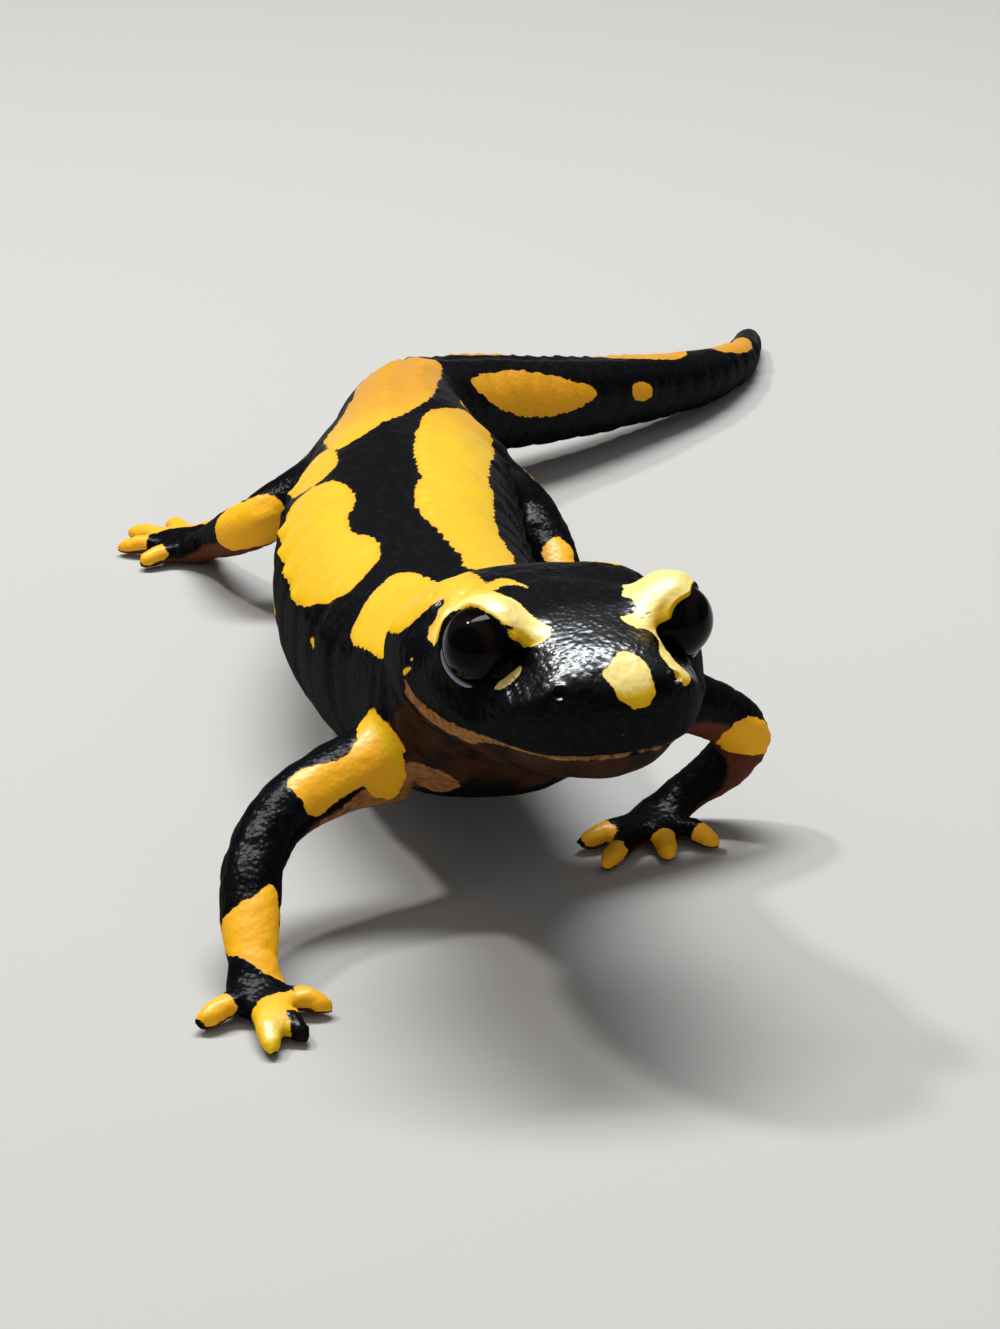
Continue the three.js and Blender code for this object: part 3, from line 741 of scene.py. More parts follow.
points = with_scoops(with_lids(with_hollows(points)))
for _ in range(2):
    sides = points[triangles] - points[np.roll(triangles, 1, axis=1)]
    is_long = np.linalg.norm(sides, axis=-1).max(1) > LONG_SIDE
    by_eye = near_features(points) & (np.linalg.norm(to_head(points)[:, 1:], axis=1) < EYES_WITHIN)
    points, triangles = refined(points, triangles, is_long & by_eye[triangles].all(1))
print("round the eyes refined to", len(triangles), "triangles")
edges, _ = edges_of(triangles, len(points))
past_rim = np.ones(len(points))
for side in SIDES:
    beyond, distance = beyond_lid(points, side)
    past_rim *= np.where(distance < 8, ease(5, 14, beyond), 0.25)
points = smoothed(points, edges, rounds=9, share=past_rim * near_features(points))
from_corner = away_from(points, LID_CORNER)
points = smoothed(points, edges, rounds=20, outwards=-0.4, share=ease(2.8, 1.6, from_corner))

# %% [markdown]
# ## Folds, warts and pores
# All relief is a height for each point, added along the skin's own direction: the mouth as a sharp crease
# with a fuller upper lip, the fold across the throat, the glands behind the eyes with their pores, the
# grooves between the ribs, the rings of the tail, and the two rows of poison glands beside the spine.


# %% Noise and repeats
def value_noise(points, cell, seed):
    """Random heights from -1 to 1 on the corners of cubes of one size, eased from corner to corner."""
    size = 24
    lattice = np.random.default_rng(seed).uniform(-1, 1, (size, size, size))
    scaled = points / cell
    corner = np.floor(scaled).astype(int)
    w = scaled - corner
    w = w * w * (3 - 2 * w)
    total = np.zeros(len(points))
    for step in np.ndindex(2, 2, 2):
        i, j, k = ((corner + step) % size).T
        total += np.prod(np.where(step, w, 1 - w), axis=1) * lattice[i, j, k]
    return total


def repeat(value, period):
    """How far a value is past the nearest whole number of periods, negative before it."""
    return (value + period / 2) % period - period / 2


# %% Heights on the head, the body and the limbs
UNDER_EYE = np.array([9.3, 1.6, -3.4])


def head_relief(points):
    """Heights on the head: mouth, nostrils, the swelling under the eye, the fold behind the jaw, the glands
    with their pores, the groove of the crown and the bulge of the throat."""
    left, forward, up = to_head(points).T
    side = np.abs(left)
    from_mouth = up - mouth_height(forward)
    front = ease(MOUTH_CORNER, -7.2, forward)
    crease = -0.34 * hill(from_mouth, 0.17)
    upper_lip = 0.18 * hill(from_mouth - 0.6, 0.5)
    lower_jaw = -0.25 * hill(from_mouth + 0.6, 0.7)
    height = front * (crease + upper_lip + lower_jaw)
    from_nostril = away_from(points, NOSTRIL)
    height += -0.6 * hill(from_nostril, 0.28) + 0.12 * hill(from_nostril - 0.55, 0.2)
    height += 0.3 * hill(away_from(points, UNDER_EYE), 1.8)
    jaw_fold = forward + 6.2 + 0.1 * (up + 5.2)
    below_jaw = ease(-12.5, -10.5, up) * (1 - ease(-5.6, -4.8, up)) * ease(5, 8, side)
    height += -0.3 * hill(jaw_fold, 0.35) * below_jaw
    gland = hill(forward + 8.6, 3.9) * hill(side - 6.6, 2.6) * ease(-3.5, 0.5, up)
    pores = hill(repeat(forward + 0.25 * side, 1.7), 0.32) * hill(repeat(side + 0.2, 1.5), 0.32)
    height += gland * (0.75 - 0.22 * pores)
    height += -0.16 * hill(side, 0.7) * ease(2.5, 0.5, np.abs(forward + 1)) * (up > 0)
    height += 1.0 * hill(forward + 4.5, 4.5) * hill(left, 6) * ease(-8.4, -10.2, up)
    return height


def body_relief(at, turn, round_by, points):
    """Heights on neck, trunk and tail: grooves between the ribs, rings of the tail, the furrow of the back
    with a row of pores on each side, warts along the flanks, folds of throat and neck, and soft
    unevenness."""
    turned = np.degrees(np.abs(turn))
    flank = ease(35, 60, turned) * (1 - ease(135, 160, turned))
    trunk = ease(40, 46, at) * (1 - ease(92, 99, at))
    lean = at - 0.9 * np.cos(turn)
    ribs = -0.24 * hill(repeat(lean + 0.4 * value_noise(points, 5.0, 3), 4.6), 0.6) * flank * trunk
    tail = ease(104, 112, at) * (1 - ease(176, 184, at))
    rings = -0.17 * hill(repeat(at, 3.1), 0.42) * tail * ease(25, 50, turned)
    spine_furrow = -0.22 * hill(round_by, 0.8) * ease(30, 38, at) * (1 - ease(150, 165, at))
    row = ease(32, 36, at) * (1 - ease(150, 160, at))
    along_row = hill(repeat(at + 0.5 * np.sign(round_by), 2.1), 0.45)
    back_pores = 0.2 * hill(np.abs(round_by) - 1.7, 0.42) * along_row * row
    warts = 0.32 * hill(turned - 66, 3.4) * hill(repeat(lean + 2.3, 4.6), 0.62) * trunk
    throat = -0.42 * hill(at - 24.6 + 0.6 * np.cos(turn), 0.7) * ease(70, 110, turned)
    neck_folds = -0.22 * hill(repeat(at + 0.8 * np.cos(2 * turn), 2.6), 0.4) * ease(55, 90, turned)
    neck_folds *= ease(23.5, 26, at) * (1 - ease(33, 37, at))
    soft = value_noise(points, 3.2, 5) * 0.12 * ease(24, 34, at)
    return ribs + rings + spine_furrow + back_pores + warts + throat + neck_folds + soft


def limb_relief(place, turn):
    """Creases run across a limb and into each other, deepest at elbow and wrist, or knee and ankle. They lie
    where a noise, stretched round the limb, passes zero."""
    bends = hill(place - 3.0, 0.8) + hill(place - 5.2, 0.6)
    round_limb = np.stack([place / 0.30, 0.9 * np.cos(turn), 0.9 * np.sin(turn)], -1)
    return -0.13 * (0.45 + 0.75 * bends) * hill(value_noise(round_limb, 1.0, 8), 0.16)


# %% Add the relief
at, turn, round_by, outside_body = body_address(points)
limb_rows = [tube_address(points, tube) for tube in tubes]
limb_outside = np.stack([row[2] for row in limb_rows])
nearest_limb = limb_outside.argmin(0)
on_limb = ease(0.35, 1.3, outside_body - limb_outside.min(0)) * (at > 22)
on_head = 1 - ease(20, 24, at)
height = head_relief(points) * on_head * (1 - on_limb)
height += body_relief(at, turn, round_by, points) * (1 - on_head) * (1 - on_limb)
for number, (tube, row) in enumerate(zip(tubes, limb_rows)):
    if tube["digit"] == 0:
        height += limb_relief(row[0], row[1]) * on_limb * (nearest_limb == number)
height += 0.035 * value_noise(points, 0.9, 11) + 0.05 * value_noise(points, 1.9, 12)
for side in SIDES:
    beyond, distance = beyond_lid(points, side)
    height *= 1 - (1 - ease(4, 16, beyond)) * (distance < 5)
points = points + normals_of(points, triangles) * height[:, None]
points[:, 2] = np.maximum(points[:, 2], 0)
print("relief from", round(height.min(), 2), "to", round(height.max(), 2), "mm")

# %% [markdown]
# ## Where the yellow lies
# The yellow patches of the real animal have sharp, slightly ragged edges and follow no seam, so they are
# drawn as closed curves on three flat charts: one of the head as seen from inside it, one of the back and
# flanks unrolled, and one of each limb unrolled. A point of the skin then gets, as a number, how many
# millimetres it is inside the nearest patch. Such a distance is smooth, so it stays sharp between points when
# the finish turns it into an edge, which a painted colour for each point would not.

# %% Charts
PATCH_REACH = 1.5
HEAD_CHART_MIDDLE = np.array([0, -1, -3.2])
HEAD_CHART_RISE = np.radians(35)
HEAD_CHART_BALL = 10
LIMB_CHART_RADIUS = 2.4


def head_chart(points):
    """Left and up on a ball of ten millimetres round a point in the head: the angle from a line that leaves
    it forward and up, laid out in the direction in which a point lies from that line."""
    c, s = np.cos(HEAD_CHART_RISE), np.sin(HEAD_CHART_RISE)
    out = unit(to_head(points) - HEAD_CHART_MIDDLE)
    from_line = np.arccos(np.clip(out @ [0, c, s], -1, 1))
    return unit(np.stack([out[:, 0], out @ [0, -s, c]], -1)) * (HEAD_CHART_BALL * from_line)[:, None]


def limb_chart(tube, place, turn):
    """Millimetres along a limb's path, and round it from its top."""
    places = np.linspace(0, len(tube["path"]) - 1, 200)
    steps = np.linalg.norm(np.diff(path_at(tube["path"], places), axis=0), axis=1)
    along = np.interp(place, places, np.concatenate([[0], np.cumsum(steps)]))
    return np.stack([along, turn * LIMB_CHART_RADIUS], -1)


def inside_by(chart, outline):
    """Distance inside a smooth closed curve through the outline's points, negative outside it. The distance
    is to the nearest of many points of the curve. A point is inside if a line from it crosses the curve an
    odd number of times."""
    count = len(outline)
    ring = [outline[-2], outline[-1], *outline, outline[0], outline[1]]
    curve = path_at(ring, np.linspace(2, count + 2, 8 * count, endpoint=False))
    near = ((chart > curve.min(0) - PATCH_REACH) & (chart < curve.max(0) + PATCH_REACH)).all(1)
    x, y = chart[near].T[..., None]
    ax, ay = curve.T
    bx, by = np.roll(curve, -1, axis=0).T
    crosses = ((ay > y) != (by > y)) & (x < (bx - ax) * (y - ay) / np.where(by == ay, 1e-9, by - ay) + ax)
    inside = crosses.sum(1) % 2 == 1
    away = np.sqrt(((x - ax) ** 2 + (y - ay) ** 2).min(1))
    result = np.full(len(chart), -PATCH_REACH)
    result[near] = np.clip(np.where(inside, away, -away), -PATCH_REACH, PATCH_REACH)
    return result


def spot(chart, middle, along, across):
    """Distance inside an oval, near enough."""
    size = np.linalg.norm((chart - middle) / [along, across], axis=1)
    return np.clip((1 - size) * min(along, across), -PATCH_REACH, PATCH_REACH)


# %% [markdown]
# ## The patches
# On the head the yellow covers the brows and runs back over the glands, with a drop behind the right eye, a
# thin crescent above it, a streak from the left brow down the muzzle, one patch on the snout and a small one
# on the right lower lid. On the back there is a broken row on each side of the spine. Each limb has one patch
# near its root and one further down, and each digit has a yellow stretch. Each outline is a handful of points
# in millimetres.

# %% Patches on the head
HEAD_YELLOW = {
    "right brow": [(-12.4, 12.4), (-11.2, 13.9), (-8.5, 14.6), (-7.5, 12.4), (-7.0, 9), (-6.1, 4.7),
                   (-4.7, 2.4), (-6.1, 0.7), (-8.0, 1.3), (-8.1, 2.8), (-8.8, 4.3), (-10.2, 5.9),
                   (-12.2, 6.2), (-13.2, 4.5), (-14.8, 5.6), (-15.3, 8.6), (-13.8, 10.6)],
    "crescent": [(-9.2, 14.3), (-7.1, 16), (-5.2, 17.1), (-4.4, 16.5), (-4.2, 13.9), (-5.3, 15.3),
                 (-6.5, 15.2), (-7.6, 14.4)],
    "left brow": [(3.5, 2.7), (5.5, 3.3), (6.1, 5.2), (6.0, 6.8), (6.8, 8), (8.8, 10.5), (11, 10.3),
                  (12.2, 8), (12.6, 6.6), (11.2, 5.6), (9.9, 4.4), (9.1, 2.8), (8.5, 1.6), (8.4, 0.2),
                  (7.4, -1.7), (6.6, -2.6), (7.1, -4.2), (5.7, -5.1), (4.9, -4.2), (4.4, -2.7), (6, -1.2),
                  (6.6, -0.4), (5.8, 0.5), (4.3, 0.7)],
    "snout": [(0.3, -2.3), (1.3, -2.1), (2.5, -3.1), (2.6, -4.7), (2.6, -5.6), (1.7, -6.4), (0.8, -6.5),
              (-0.4, -5.7), (-0.8, -4.8), (-1.4, -3.7), (-0.8, -3.3)],
}
# A small patch at the front corner of the right lower lid. It isn't cut off at the lid's free edge.
LOWER_LID = [(-8.8, -0.6), (-8.8, -1.7), (-9.5, -2.2), (-10.2, -2.5), (-11.0, -2.5), (-11.3, -2.1),
             (-11.2, -1.6), (-10.6, -1.0), (-9.7, -0.7)]
# Small ovals: the middle, and half lengths across the chart and up it. Flecks are black, inside the yellow.
HEAD_SPOTS = [((-9.0, -3.2), 0.55, 0.35), ((-17.4, 6.9), 0.22, 0.22), ((-18.2, 6.1), 0.4, 0.35),
              ((-0.2, -8.5), 0.14, 0.14)]
HEAD_FLECKS = [((-7.8, 2.6), 0.22, 0.22), ((5.9, 2.2), 0.5, 0.1), ((6.5, 2.6), 0.3, 0.1),
               ((6.9, -0.9), 0.3, 0.1)]

# %% Patches on neck, back, flanks and tail
BODY_YELLOW = {
    "neck": [(15.8, -3.7), (16.4, -6.6), (17, -8.5), (18, -9.9), (22, -10.6), (30, -10.6), (38.5, -9.9),
             (42.2, -9.9), (44, -9.1), (45.2, -7.3), (46.8, -5.3), (48, -3.6), (47, -2.4), (42, -1.8),
             (35, -2.2), (26, -2.6), (20, -3)],
    "heart": [(74, -5.3), (71.4, -4), (67, -3.5), (63.5, -4.2), (60, -4.2), (57.4, -3.1), (54, -3.2),
              (50.6, -4.6), (49.3, -7), (51.3, -8.9), (56.4, -11.1), (63.2, -10.9), (70.1, -11.1),
              (74.6, -10.3), (75.2, -7.8)],
    "narrow": [(86, -6.6), (81.3, -5.1), (77.3, -5.2), (75.4, -6.9), (77.2, -9.4), (82, -10.4), (86.5, -8.8)],
    "far": [(83, -5), (85, -3.5), (88.5, -1.8), (93.5, 0.2), (98, 2), (106, 3.2), (113, 3.6), (119, 2.5),
            (121, 0), (117, -3), (110, -4.5), (104, -5), (98, -5.8), (93, -7.2), (88.5, -6.8)],
    "left stripe": [(93.2, 1.8), (96.3, 3.3), (98.9, 6), (95.2, 7.4), (91.2, 8.1), (80.7, 7.1), (70.8, 7.1),
                    (62.8, 6.8), (52.1, 6.5), (46.5, 4.8), (45.3, 1.7), (51.2, 1.9), (57.8, 1.5), (62.5, 0.9),
                    (67.6, 0.8), (71.9, 1.4), (78.3, 1), (84.4, 1), (88.5, 1.2)],
    "left neck": [(18, 4.2), (24, 3.4), (31, 3.8), (38, 5), (40, 7.8), (36, 9.4), (28, 9), (21, 9.4),
                  (17, 7.6)],
    "left flank": [(54, 12.4), (58.5, 11.2), (63, 12.6), (62, 15.6), (57, 16.4)],
    "left hip": [(100, 6.6), (104, 5.4), (108, 7), (107, 9.6), (102, 9.8)],
    "tail right": [(126, -1.6), (131, -0.9), (136, -2.2), (137, -5), (132, -6.4), (127, -4.6)],
    "tail left": [(123, 4.4), (129, 3), (137, 3.4), (142, 5), (138, 7), (129, 7.4)],
    "tail far": [(146, -2.2), (151, 0.6), (158, 1.2), (161, -0.8), (157, -3.4), (150, -4.4)],
    "tail end": [(166, 0.6), (171, 1.8), (177, 1.2), (178, -0.6), (172, -1.2), (167, -0.8)],
}
BODY_SPOTS = [((50.3, -12.4), 0.8, 0.5), ((70, 15), 1.6, 1.1), ((84, 13), 1.3, 0.9), ((45, 13), 1.5, 1.2),
              ((66, -16), 1.1, 0.8), ((80, -15), 1.4, 1), ((58, -22), 1.6, 1.1), ((74, 22), 1.8, 1.2),
              ((90, -20), 1.3, 1), ((149, 5), 1.6, 1), ((113, -9), 1.4, 1.1), ((44, -24), 1.4, 1)]

# %% Patches on the limbs
LIMB_YELLOW = {
    "arm_right": [
        [(1.2, -0.8), (0.8, 2), (1.4, 5.2), (3.2, 4.8), (4.2, 3.8), (6.9, 3.9), (9, 4.2), (9.9, 3),
         (9.5, 2.2), (9.5, 0.6), (8.2, 0.2), (6.3, 1), (4.5, 1.3), (3.5, 0.8), (2.3, -0.7)],
        [(18.2, 1.9), (19.2, 2.8), (20.8, 3.5), (22.5, 4.2), (24.5, 4.2), (26.1, 3.2), (25.8, 2), (25.4, 0.8),
         (24.2, -1), (23.4, -3.2), (22.4, -4.2), (21, -3.6), (20.3, -1.6), (19.4, 0.6)],
    ],
    "arm_left": [[(13.4, -4.6), (14.6, -2.6), (17, -2.4), (18.2, -4.4), (17.2, -6.6), (14.4, -6.8)],
                 [(2, 0.6), (4.5, 1.4), (8, 0.8), (9, -0.9), (6, -1.6), (3, -1.4)]],
    "leg_right": [[(11.6, 3.4), (12.2, 1), (14.4, 0.2), (17, 1), (17.8, 3.4), (16.8, 5.8), (14, 6.4),
                   (12, 5.4)],
                  [(2, -1), (5, -0.4), (7.5, -1.4), (6.5, -3.6), (3, -3.6)]],
    "leg_left": [[(16.4, 0.4), (17.8, 1.8), (19.6, 1.2), (19.8, -0.6), (18, -1.4)],
                 [(4, 2.2), (8, 1.4), (11.5, 2.4), (11, 4.6), (6, 5)]],
}
# Along each digit, from its root, where the yellow starts and where it stops.
DIGIT_YELLOW = {
    "arm_right": [(2.0, 4.7), (2.2, 9), (1.4, 3.7), (2.0, 5.4)],
    "arm_left": [(3.4, 9), (3.0, 9), (5.4, 9), (3.4, 6)],
    "leg_right": [(3.0, 6.4), (2.2, 7), (2.6, 9), (3.4, 6.6), (2.4, 5)],
    "leg_left": [(2.6, 5.2), (3.0, 7.6), (2.4, 6.8), (3.2, 9), (2.6, 5)],
}

# %% Distances inside the patches of head and body
chart_head = head_chart(points)
chart_body = np.stack([at, round_by], -1)
front_of_neck = np.where(at < 20, 0, -PATCH_REACH)
yellow = np.full(len(points), -PATCH_REACH)
for outline in HEAD_YELLOW.values():
    yellow = np.maximum(yellow, inside_by(chart_head, outline) + front_of_neck)
for middle, along, across in HEAD_SPOTS:
    yellow = np.maximum(yellow, spot(chart_head, middle, along, across) + front_of_neck)
for middle, along, across in HEAD_FLECKS:
    yellow = np.minimum(yellow, -spot(chart_head, middle, along, across) - front_of_neck)
limbs_apart = np.where(on_limb > 0.5, -2 * PATCH_REACH, 0)
for outline in BODY_YELLOW.values():
    yellow = np.maximum(yellow, inside_by(chart_body, outline) + limbs_apart)
for middle, along, across in BODY_SPOTS:
    yellow = np.maximum(yellow, spot(chart_body, middle, along, across) + limbs_apart)

# %% No yellow inside the free edge of the lids
ONTO_EDGE = 0.12
for side in SIDES:
    beyond, distance = beyond_lid(points, side)
    past_edge = np.where(distance < 5, np.radians(beyond) * LID_ROLL, PATCH_REACH)
    yellow = np.minimum(yellow, past_edge + ONTO_EDGE)
yellow = np.maximum(yellow, inside_by(chart_head, LOWER_LID) + front_of_neck)

# %% Patches of the limbs, and how far a point is on a limb's underside
underside_and_shade = np.zeros(len(points))
for number, (tube, row) in enumerate(zip(tubes, limb_rows)):
    place, turn_on_limb, outside = row
    chart = limb_chart(tube, place, turn_on_limb)
    near_it = np.clip(1.2 - outside, -PATCH_REACH, PATCH_REACH) * (at > 20) - PATCH_REACH * (at <= 20)
    if tube["digit"] == 0:
        for outline in LIMB_YELLOW[tube["name"]]:
            yellow = np.maximum(yellow, np.minimum(inside_by(chart, outline), near_it))
    else:
        start, stop = DIGIT_YELLOW[tube["name"]][tube["digit"] - 1]
        band = np.minimum.reduce([chart[:, 0] - start, stop - chart[:, 0], 4.6 - np.abs(chart[:, 1])])
        yellow = np.maximum(yellow, np.minimum(band, np.clip(0.6 - outside, -PATCH_REACH, PATCH_REACH)))
    # Reddish brown on a limb's underside: partly its own colour, partly painted shade.
    below = ease(1.5, 2.3, np.abs(turn_on_limb)) * (nearest_limb == number) * on_limb
    if tube["name"] == "arm_right":
        below *= 1 - 0.9 * ease(1.6, 2.6, place)
    underside_and_shade = np.maximum(underside_and_shade, below)

# %% [markdown]
# ## Lips, throat and the undersides
# The upper lip has an ochre seam that widens to the corner of the mouth, where it also reaches a little below
# the crease. A patch on the chest, in the shadow under the head, is ochre instead of yellow: painted shade.
# The lower jaw and throat are brown, kept very dark as painted shade under the head. The undersides of the
# limbs are reddish brown, partly their own colour and partly painted shade. From the hips back the yellow
# turns amber, as painted shade.

# %% Ochre and brown
left, forward, up = to_head(points).T
from_mouth = up - mouth_height(forward)
to_corner = ease(6.0, -4.5, forward)
seam_above, seam_below = 0.14 + 1.7 * to_corner, 0.16 + 0.5 * to_corner**3
seam = np.minimum(seam_above - from_mouth, seam_below + from_mouth)
seam -= PATCH_REACH * (forward < -6.6) + PATCH_REACH * (at > 19)
turned = np.degrees(np.abs(turn))
throat = np.minimum(-from_mouth - 0.1, 2 * (forward + 7.4 + 0.35 * (up + 5.2)))
throat_behind = np.where(at < 17, -PATCH_REACH, np.minimum((turned - 108) * 0.14, (32 - at) * 0.3))
# Painted shade: a patch on the chest, in the shadow under the head, is ochre instead of yellow.
chest_shaded = spot(chart_body, (33.2, -20.6), 1.7, 2.2)
ochre = np.clip(np.maximum(seam, chest_shaded), -PATCH_REACH, PATCH_REACH)
brown = np.maximum(np.where(at < 19.5, throat, -PATCH_REACH), throat_behind) + limbs_apart
brown = np.clip(brown, -PATCH_REACH, PATCH_REACH)
# Painted shade: from the hips back, off the limbs, the yellow is darkened to amber.
hind_shade = ease(82, 104, at) * (1 - on_limb)
print("yellow covers", round(100 * float((yellow > 0).mean())), "% of the points")

# %% [markdown]
# ## The skin as an object
# The numbers worked out above go into the mesh, one for each point, and the finish reads them by name. One
# more says how wet the skin looks: a film of water shines where the skin faces up to the light, less on black
# skin behind the muzzle and less on the limbs. Another is a painted highlight, the share of cream on yellow
# that faces up on the head. The skin stands in for every solid of the frame but the eyes.

# %% The skin as an object
skin = mesh_object("skin", points, triangles)
facing_up = neighbour_mean(neighbour_mean(normals_of(points, triangles)[:, 2], edges), edges)[:, 0]
duller = 0.75 * ease(6.3, 8.8, at) * ease(0.3, -0.3, yellow)
black_limb = on_limb * (0.35 + 0.5 * ease(0.3, -0.3, yellow))
wet = 0.07 + 0.93 * ease(0.45, 0.8, facing_up) * (1 - black_limb) * (1 - duller)
# Painted highlight: on the head, skin that faces up gets a share of cream, where the lamps shine on it.
painted_highlight = ease(0.25, 0.75, facing_up) * (1 - ease(10, 17, at)) * (1 - on_limb)
fields = {
    "yellow": yellow, "ochre": ochre, "brown": brown, "warm": on_limb, "hind_shade": hind_shade,
    "under": underside_and_shade, "wet": wet, "painted_highlight": painted_highlight,
}
for name, values in fields.items():
    store(skin, name, values)
FLESH = sorted(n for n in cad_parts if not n.startswith("eye_"))
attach(skin, "root")
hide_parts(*FLESH)
print("skin of", len(triangles), "triangles, in place of", len(FLESH), "solids")

# %% [markdown]
# ## Eyeballs
# A ball with a clear cornea that bulges a little along the gaze. The eye of this animal is almost black all
# over, with a barely lighter brown ring round the pupil.

# %% Eyes
CORNEA_BULGE = 0.12
eyes = []
for side in SIDES:
    rings, faces = ball(np.zeros(3), 1.0, rings=72, sides=96)
    gaze = gaze_axes(side)[0] @ HEAD_AXES
    from_gaze = np.degrees(np.arccos(np.clip(rings @ gaze, -1, 1)))
    radius = EYE_RADIUS + CORNEA_BULGE * (1 - ease(20, 55, from_gaze))
    eye = mesh_object("eyeball_" + side, unit(rings) * radius[:, None] + eye_centres[side], faces)
    store(eye, "from_gaze", from_gaze)
    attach(eye, "root")
    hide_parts("eye_" + side)
    eyes.append(eye)
print("eyeballs:", [eye.name for eye in eyes])

# %% [markdown]
# ## Tear lines
# Where a wet eyeball meets its lid, a thin bead of water stands in the corner, and it draws a fine bright
# line along the lid. It is a narrow tube along the free edge, from the lowest part of the lids to the back.

# %% Tear lines
TEAR_RADIUS = 0.25
TEAR_FROM, TEAR_TO = 165, 262
TEAR_RINGS, TEAR_SIDES = 120, 10


def tear_line(side):
    """A tube whose axis is the free edge of the lids, a place on the eyeball's surface for each turn round
    the gaze, and whose thickness goes with the root of a sine, so it tapers at both ends."""
    gaze, up, front = gaze_axes(side)
    turns = np.linspace(TEAR_FROM, TEAR_TO, TEAR_RINGS)
    clock, angle = np.radians(turns)[:, None], np.radians(opening_at(turns, side))[:, None]
    out = np.cos(angle) * gaze + np.sin(angle) * (np.cos(clock) * up + np.sin(clock) * front)
    axis = EYE_RADIUS * out @ HEAD_AXES + eye_centres[side]
    along, lift = unit(np.gradient(axis, axis=0)), unit(axis - eye_centres[side])
    thick = TEAR_RADIUS * np.sqrt(np.sin(np.linspace(0.02, np.pi - 0.02, TEAR_RINGS)))[:, None, None]
    turn = np.linspace(0, 2 * np.pi, TEAR_SIDES, endpoint=False)[None, :, None]
    ring = np.cos(turn) * lift[:, None] + np.sin(turn) * np.cross(along, lift)[:, None]
    return closed_over(axis[:, None] + thick * ring)


tears = []
for side in SIDES:
    tear = mesh_object("tear_line_" + side, *tear_line(side))
    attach(tear, "root")
    tears.append(tear)
print("tear lines:", [tear.name for tear in tears])

# %% [markdown]
# ## A small language for finishes
# A finish is a graph of nodes. A class that stands for one output of the graph lets sums be written as sums.
# Any other node comes from one method.


# %% The Wire class
class Wire:
    """One output of a material's graph. Arithmetic between wires and numbers adds Math nodes."""

    def __init__(self, tree, socket=None):
        self.tree, self.socket = tree, socket

    def node(self, kind, settings=None, inputs=None, out=0):
        """A new node with its settings and inputs given, as the wire of one of its outputs."""
        made = self.tree.nodes.new(kind)
        for key, value in (settings or {}).items():
            setattr(made, key, value)
        for key, value in (inputs or {}).items():
            if isinstance(value, Wire):
                self.tree.links.new(value.socket, made.inputs[key])
            else:
                made.inputs[key].default_value = value
        return Wire(self.tree, made.outputs[out])

    def math(self, operation, first, second):
        return self.node("ShaderNodeMath", dict(operation=operation), {0: first, 1: second})

    def __add__(self, other):
        return self.math("ADD", self, other)

    def __radd__(self, other):
        return self.math("ADD", other, self)

    def __sub__(self, other):
        return self.math("SUBTRACT", self, other)

    def __rsub__(self, other):
        return self.math("SUBTRACT", other, self)

    def __mul__(self, other):
        return self.math("MULTIPLY", self, other)

    def soft_step(self, start, stop):
        """0 below start and 1 above stop, eased between."""
        edges = {"Value": self, "From Min": start, "From Max": stop}
        return self.node("ShaderNodeMapRange", dict(interpolation_type="SMOOTHSTEP"), edges)

    def mix(self, low, high):
        """One colour where this wire is 0 and the other where it is 1."""
        return self.node("ShaderNodeMix", dict(data_type="RGBA"), {0: self, 6: low, 7: high}, out=2)

    def field(self, name):
        """A number stored in the mesh for each of its points."""
        return self.node("ShaderNodeAttribute", dict(attribute_name=name), out=2)

    def noise(self, where, scale, detail=2.0, roughness=0.5):
        """Random heights from about 0.2 to 0.8, where scale counts cells in a metre."""
        inputs = {"Vector": where, "Scale": scale, "Detail": detail, "Roughness": roughness}
        return self.node("ShaderNodeTexNoise", None, inputs)


def new_material(name, constants):
    """A material, its Principled shader with the constants set, and a wire to start its graph from."""
    material = bpy.data.materials.new(name)
    material.use_nodes = True
    shader = material.node_tree.nodes["Principled BSDF"]
    for key, value in constants.items():
        shader.inputs[key].default_value = value
    return material, shader, Wire(material.node_tree)


# %% [markdown]
# ## The finish of the skin
# Amphibian skin is moist. Over black it shows sharp broken highlights, because it is made of tiny pebbles
# less than half a millimetre wide. So two shaders are mixed, a dry one with no gloss and a wet one with a
# strong gloss, in the share that the mesh holds for each point. Both have the same colour and pebbles.
# Yellow skin is a little duller than black, with lower pebbles, and its colour is deeper towards the rim of a
# patch. It is orange on the limbs. On top of the head it turns cream, a painted highlight, and from the hips
# back it turns amber, painted shade. The edge of a patch is ragged in the size of the pebbles.

# %% Colours of the skin
BLACK, BLACK_WORN = (0.0025, 0.0026, 0.0034, 1), (0.006, 0.006, 0.0075, 1)
YELLOW, YELLOW_DEEP = (0.80, 0.49, 0.012, 1), (0.76, 0.40, 0.008, 1)
# The amber is painted shade on the yellow from the hips back.
ORANGE, AMBER_SHADE = (0.96, 0.42, 0.02, 1), (0.66, 0.28, 0.014, 1)
# The cream is a painted highlight on the yellow on top of the head.
HIGHLIGHT_CREAM = (0.95, 0.74, 0.24, 1)
OCHRE, OCHRE_DARK = (0.38, 0.17, 0.05, 1), (0.20, 0.085, 0.028, 1)
# The throat's brown is its own colour, kept very dark as painted shade under the head.
THROAT_SHADED, THROAT_SHADED_DARK = (0.05, 0.020, 0.009, 1), (0.015, 0.007, 0.004, 1)
# Reddish brown of the limbs' undersides: partly their own colour, partly painted shade.
RED_BROWN_AND_SHADE = (0.10, 0.028, 0.014, 1)

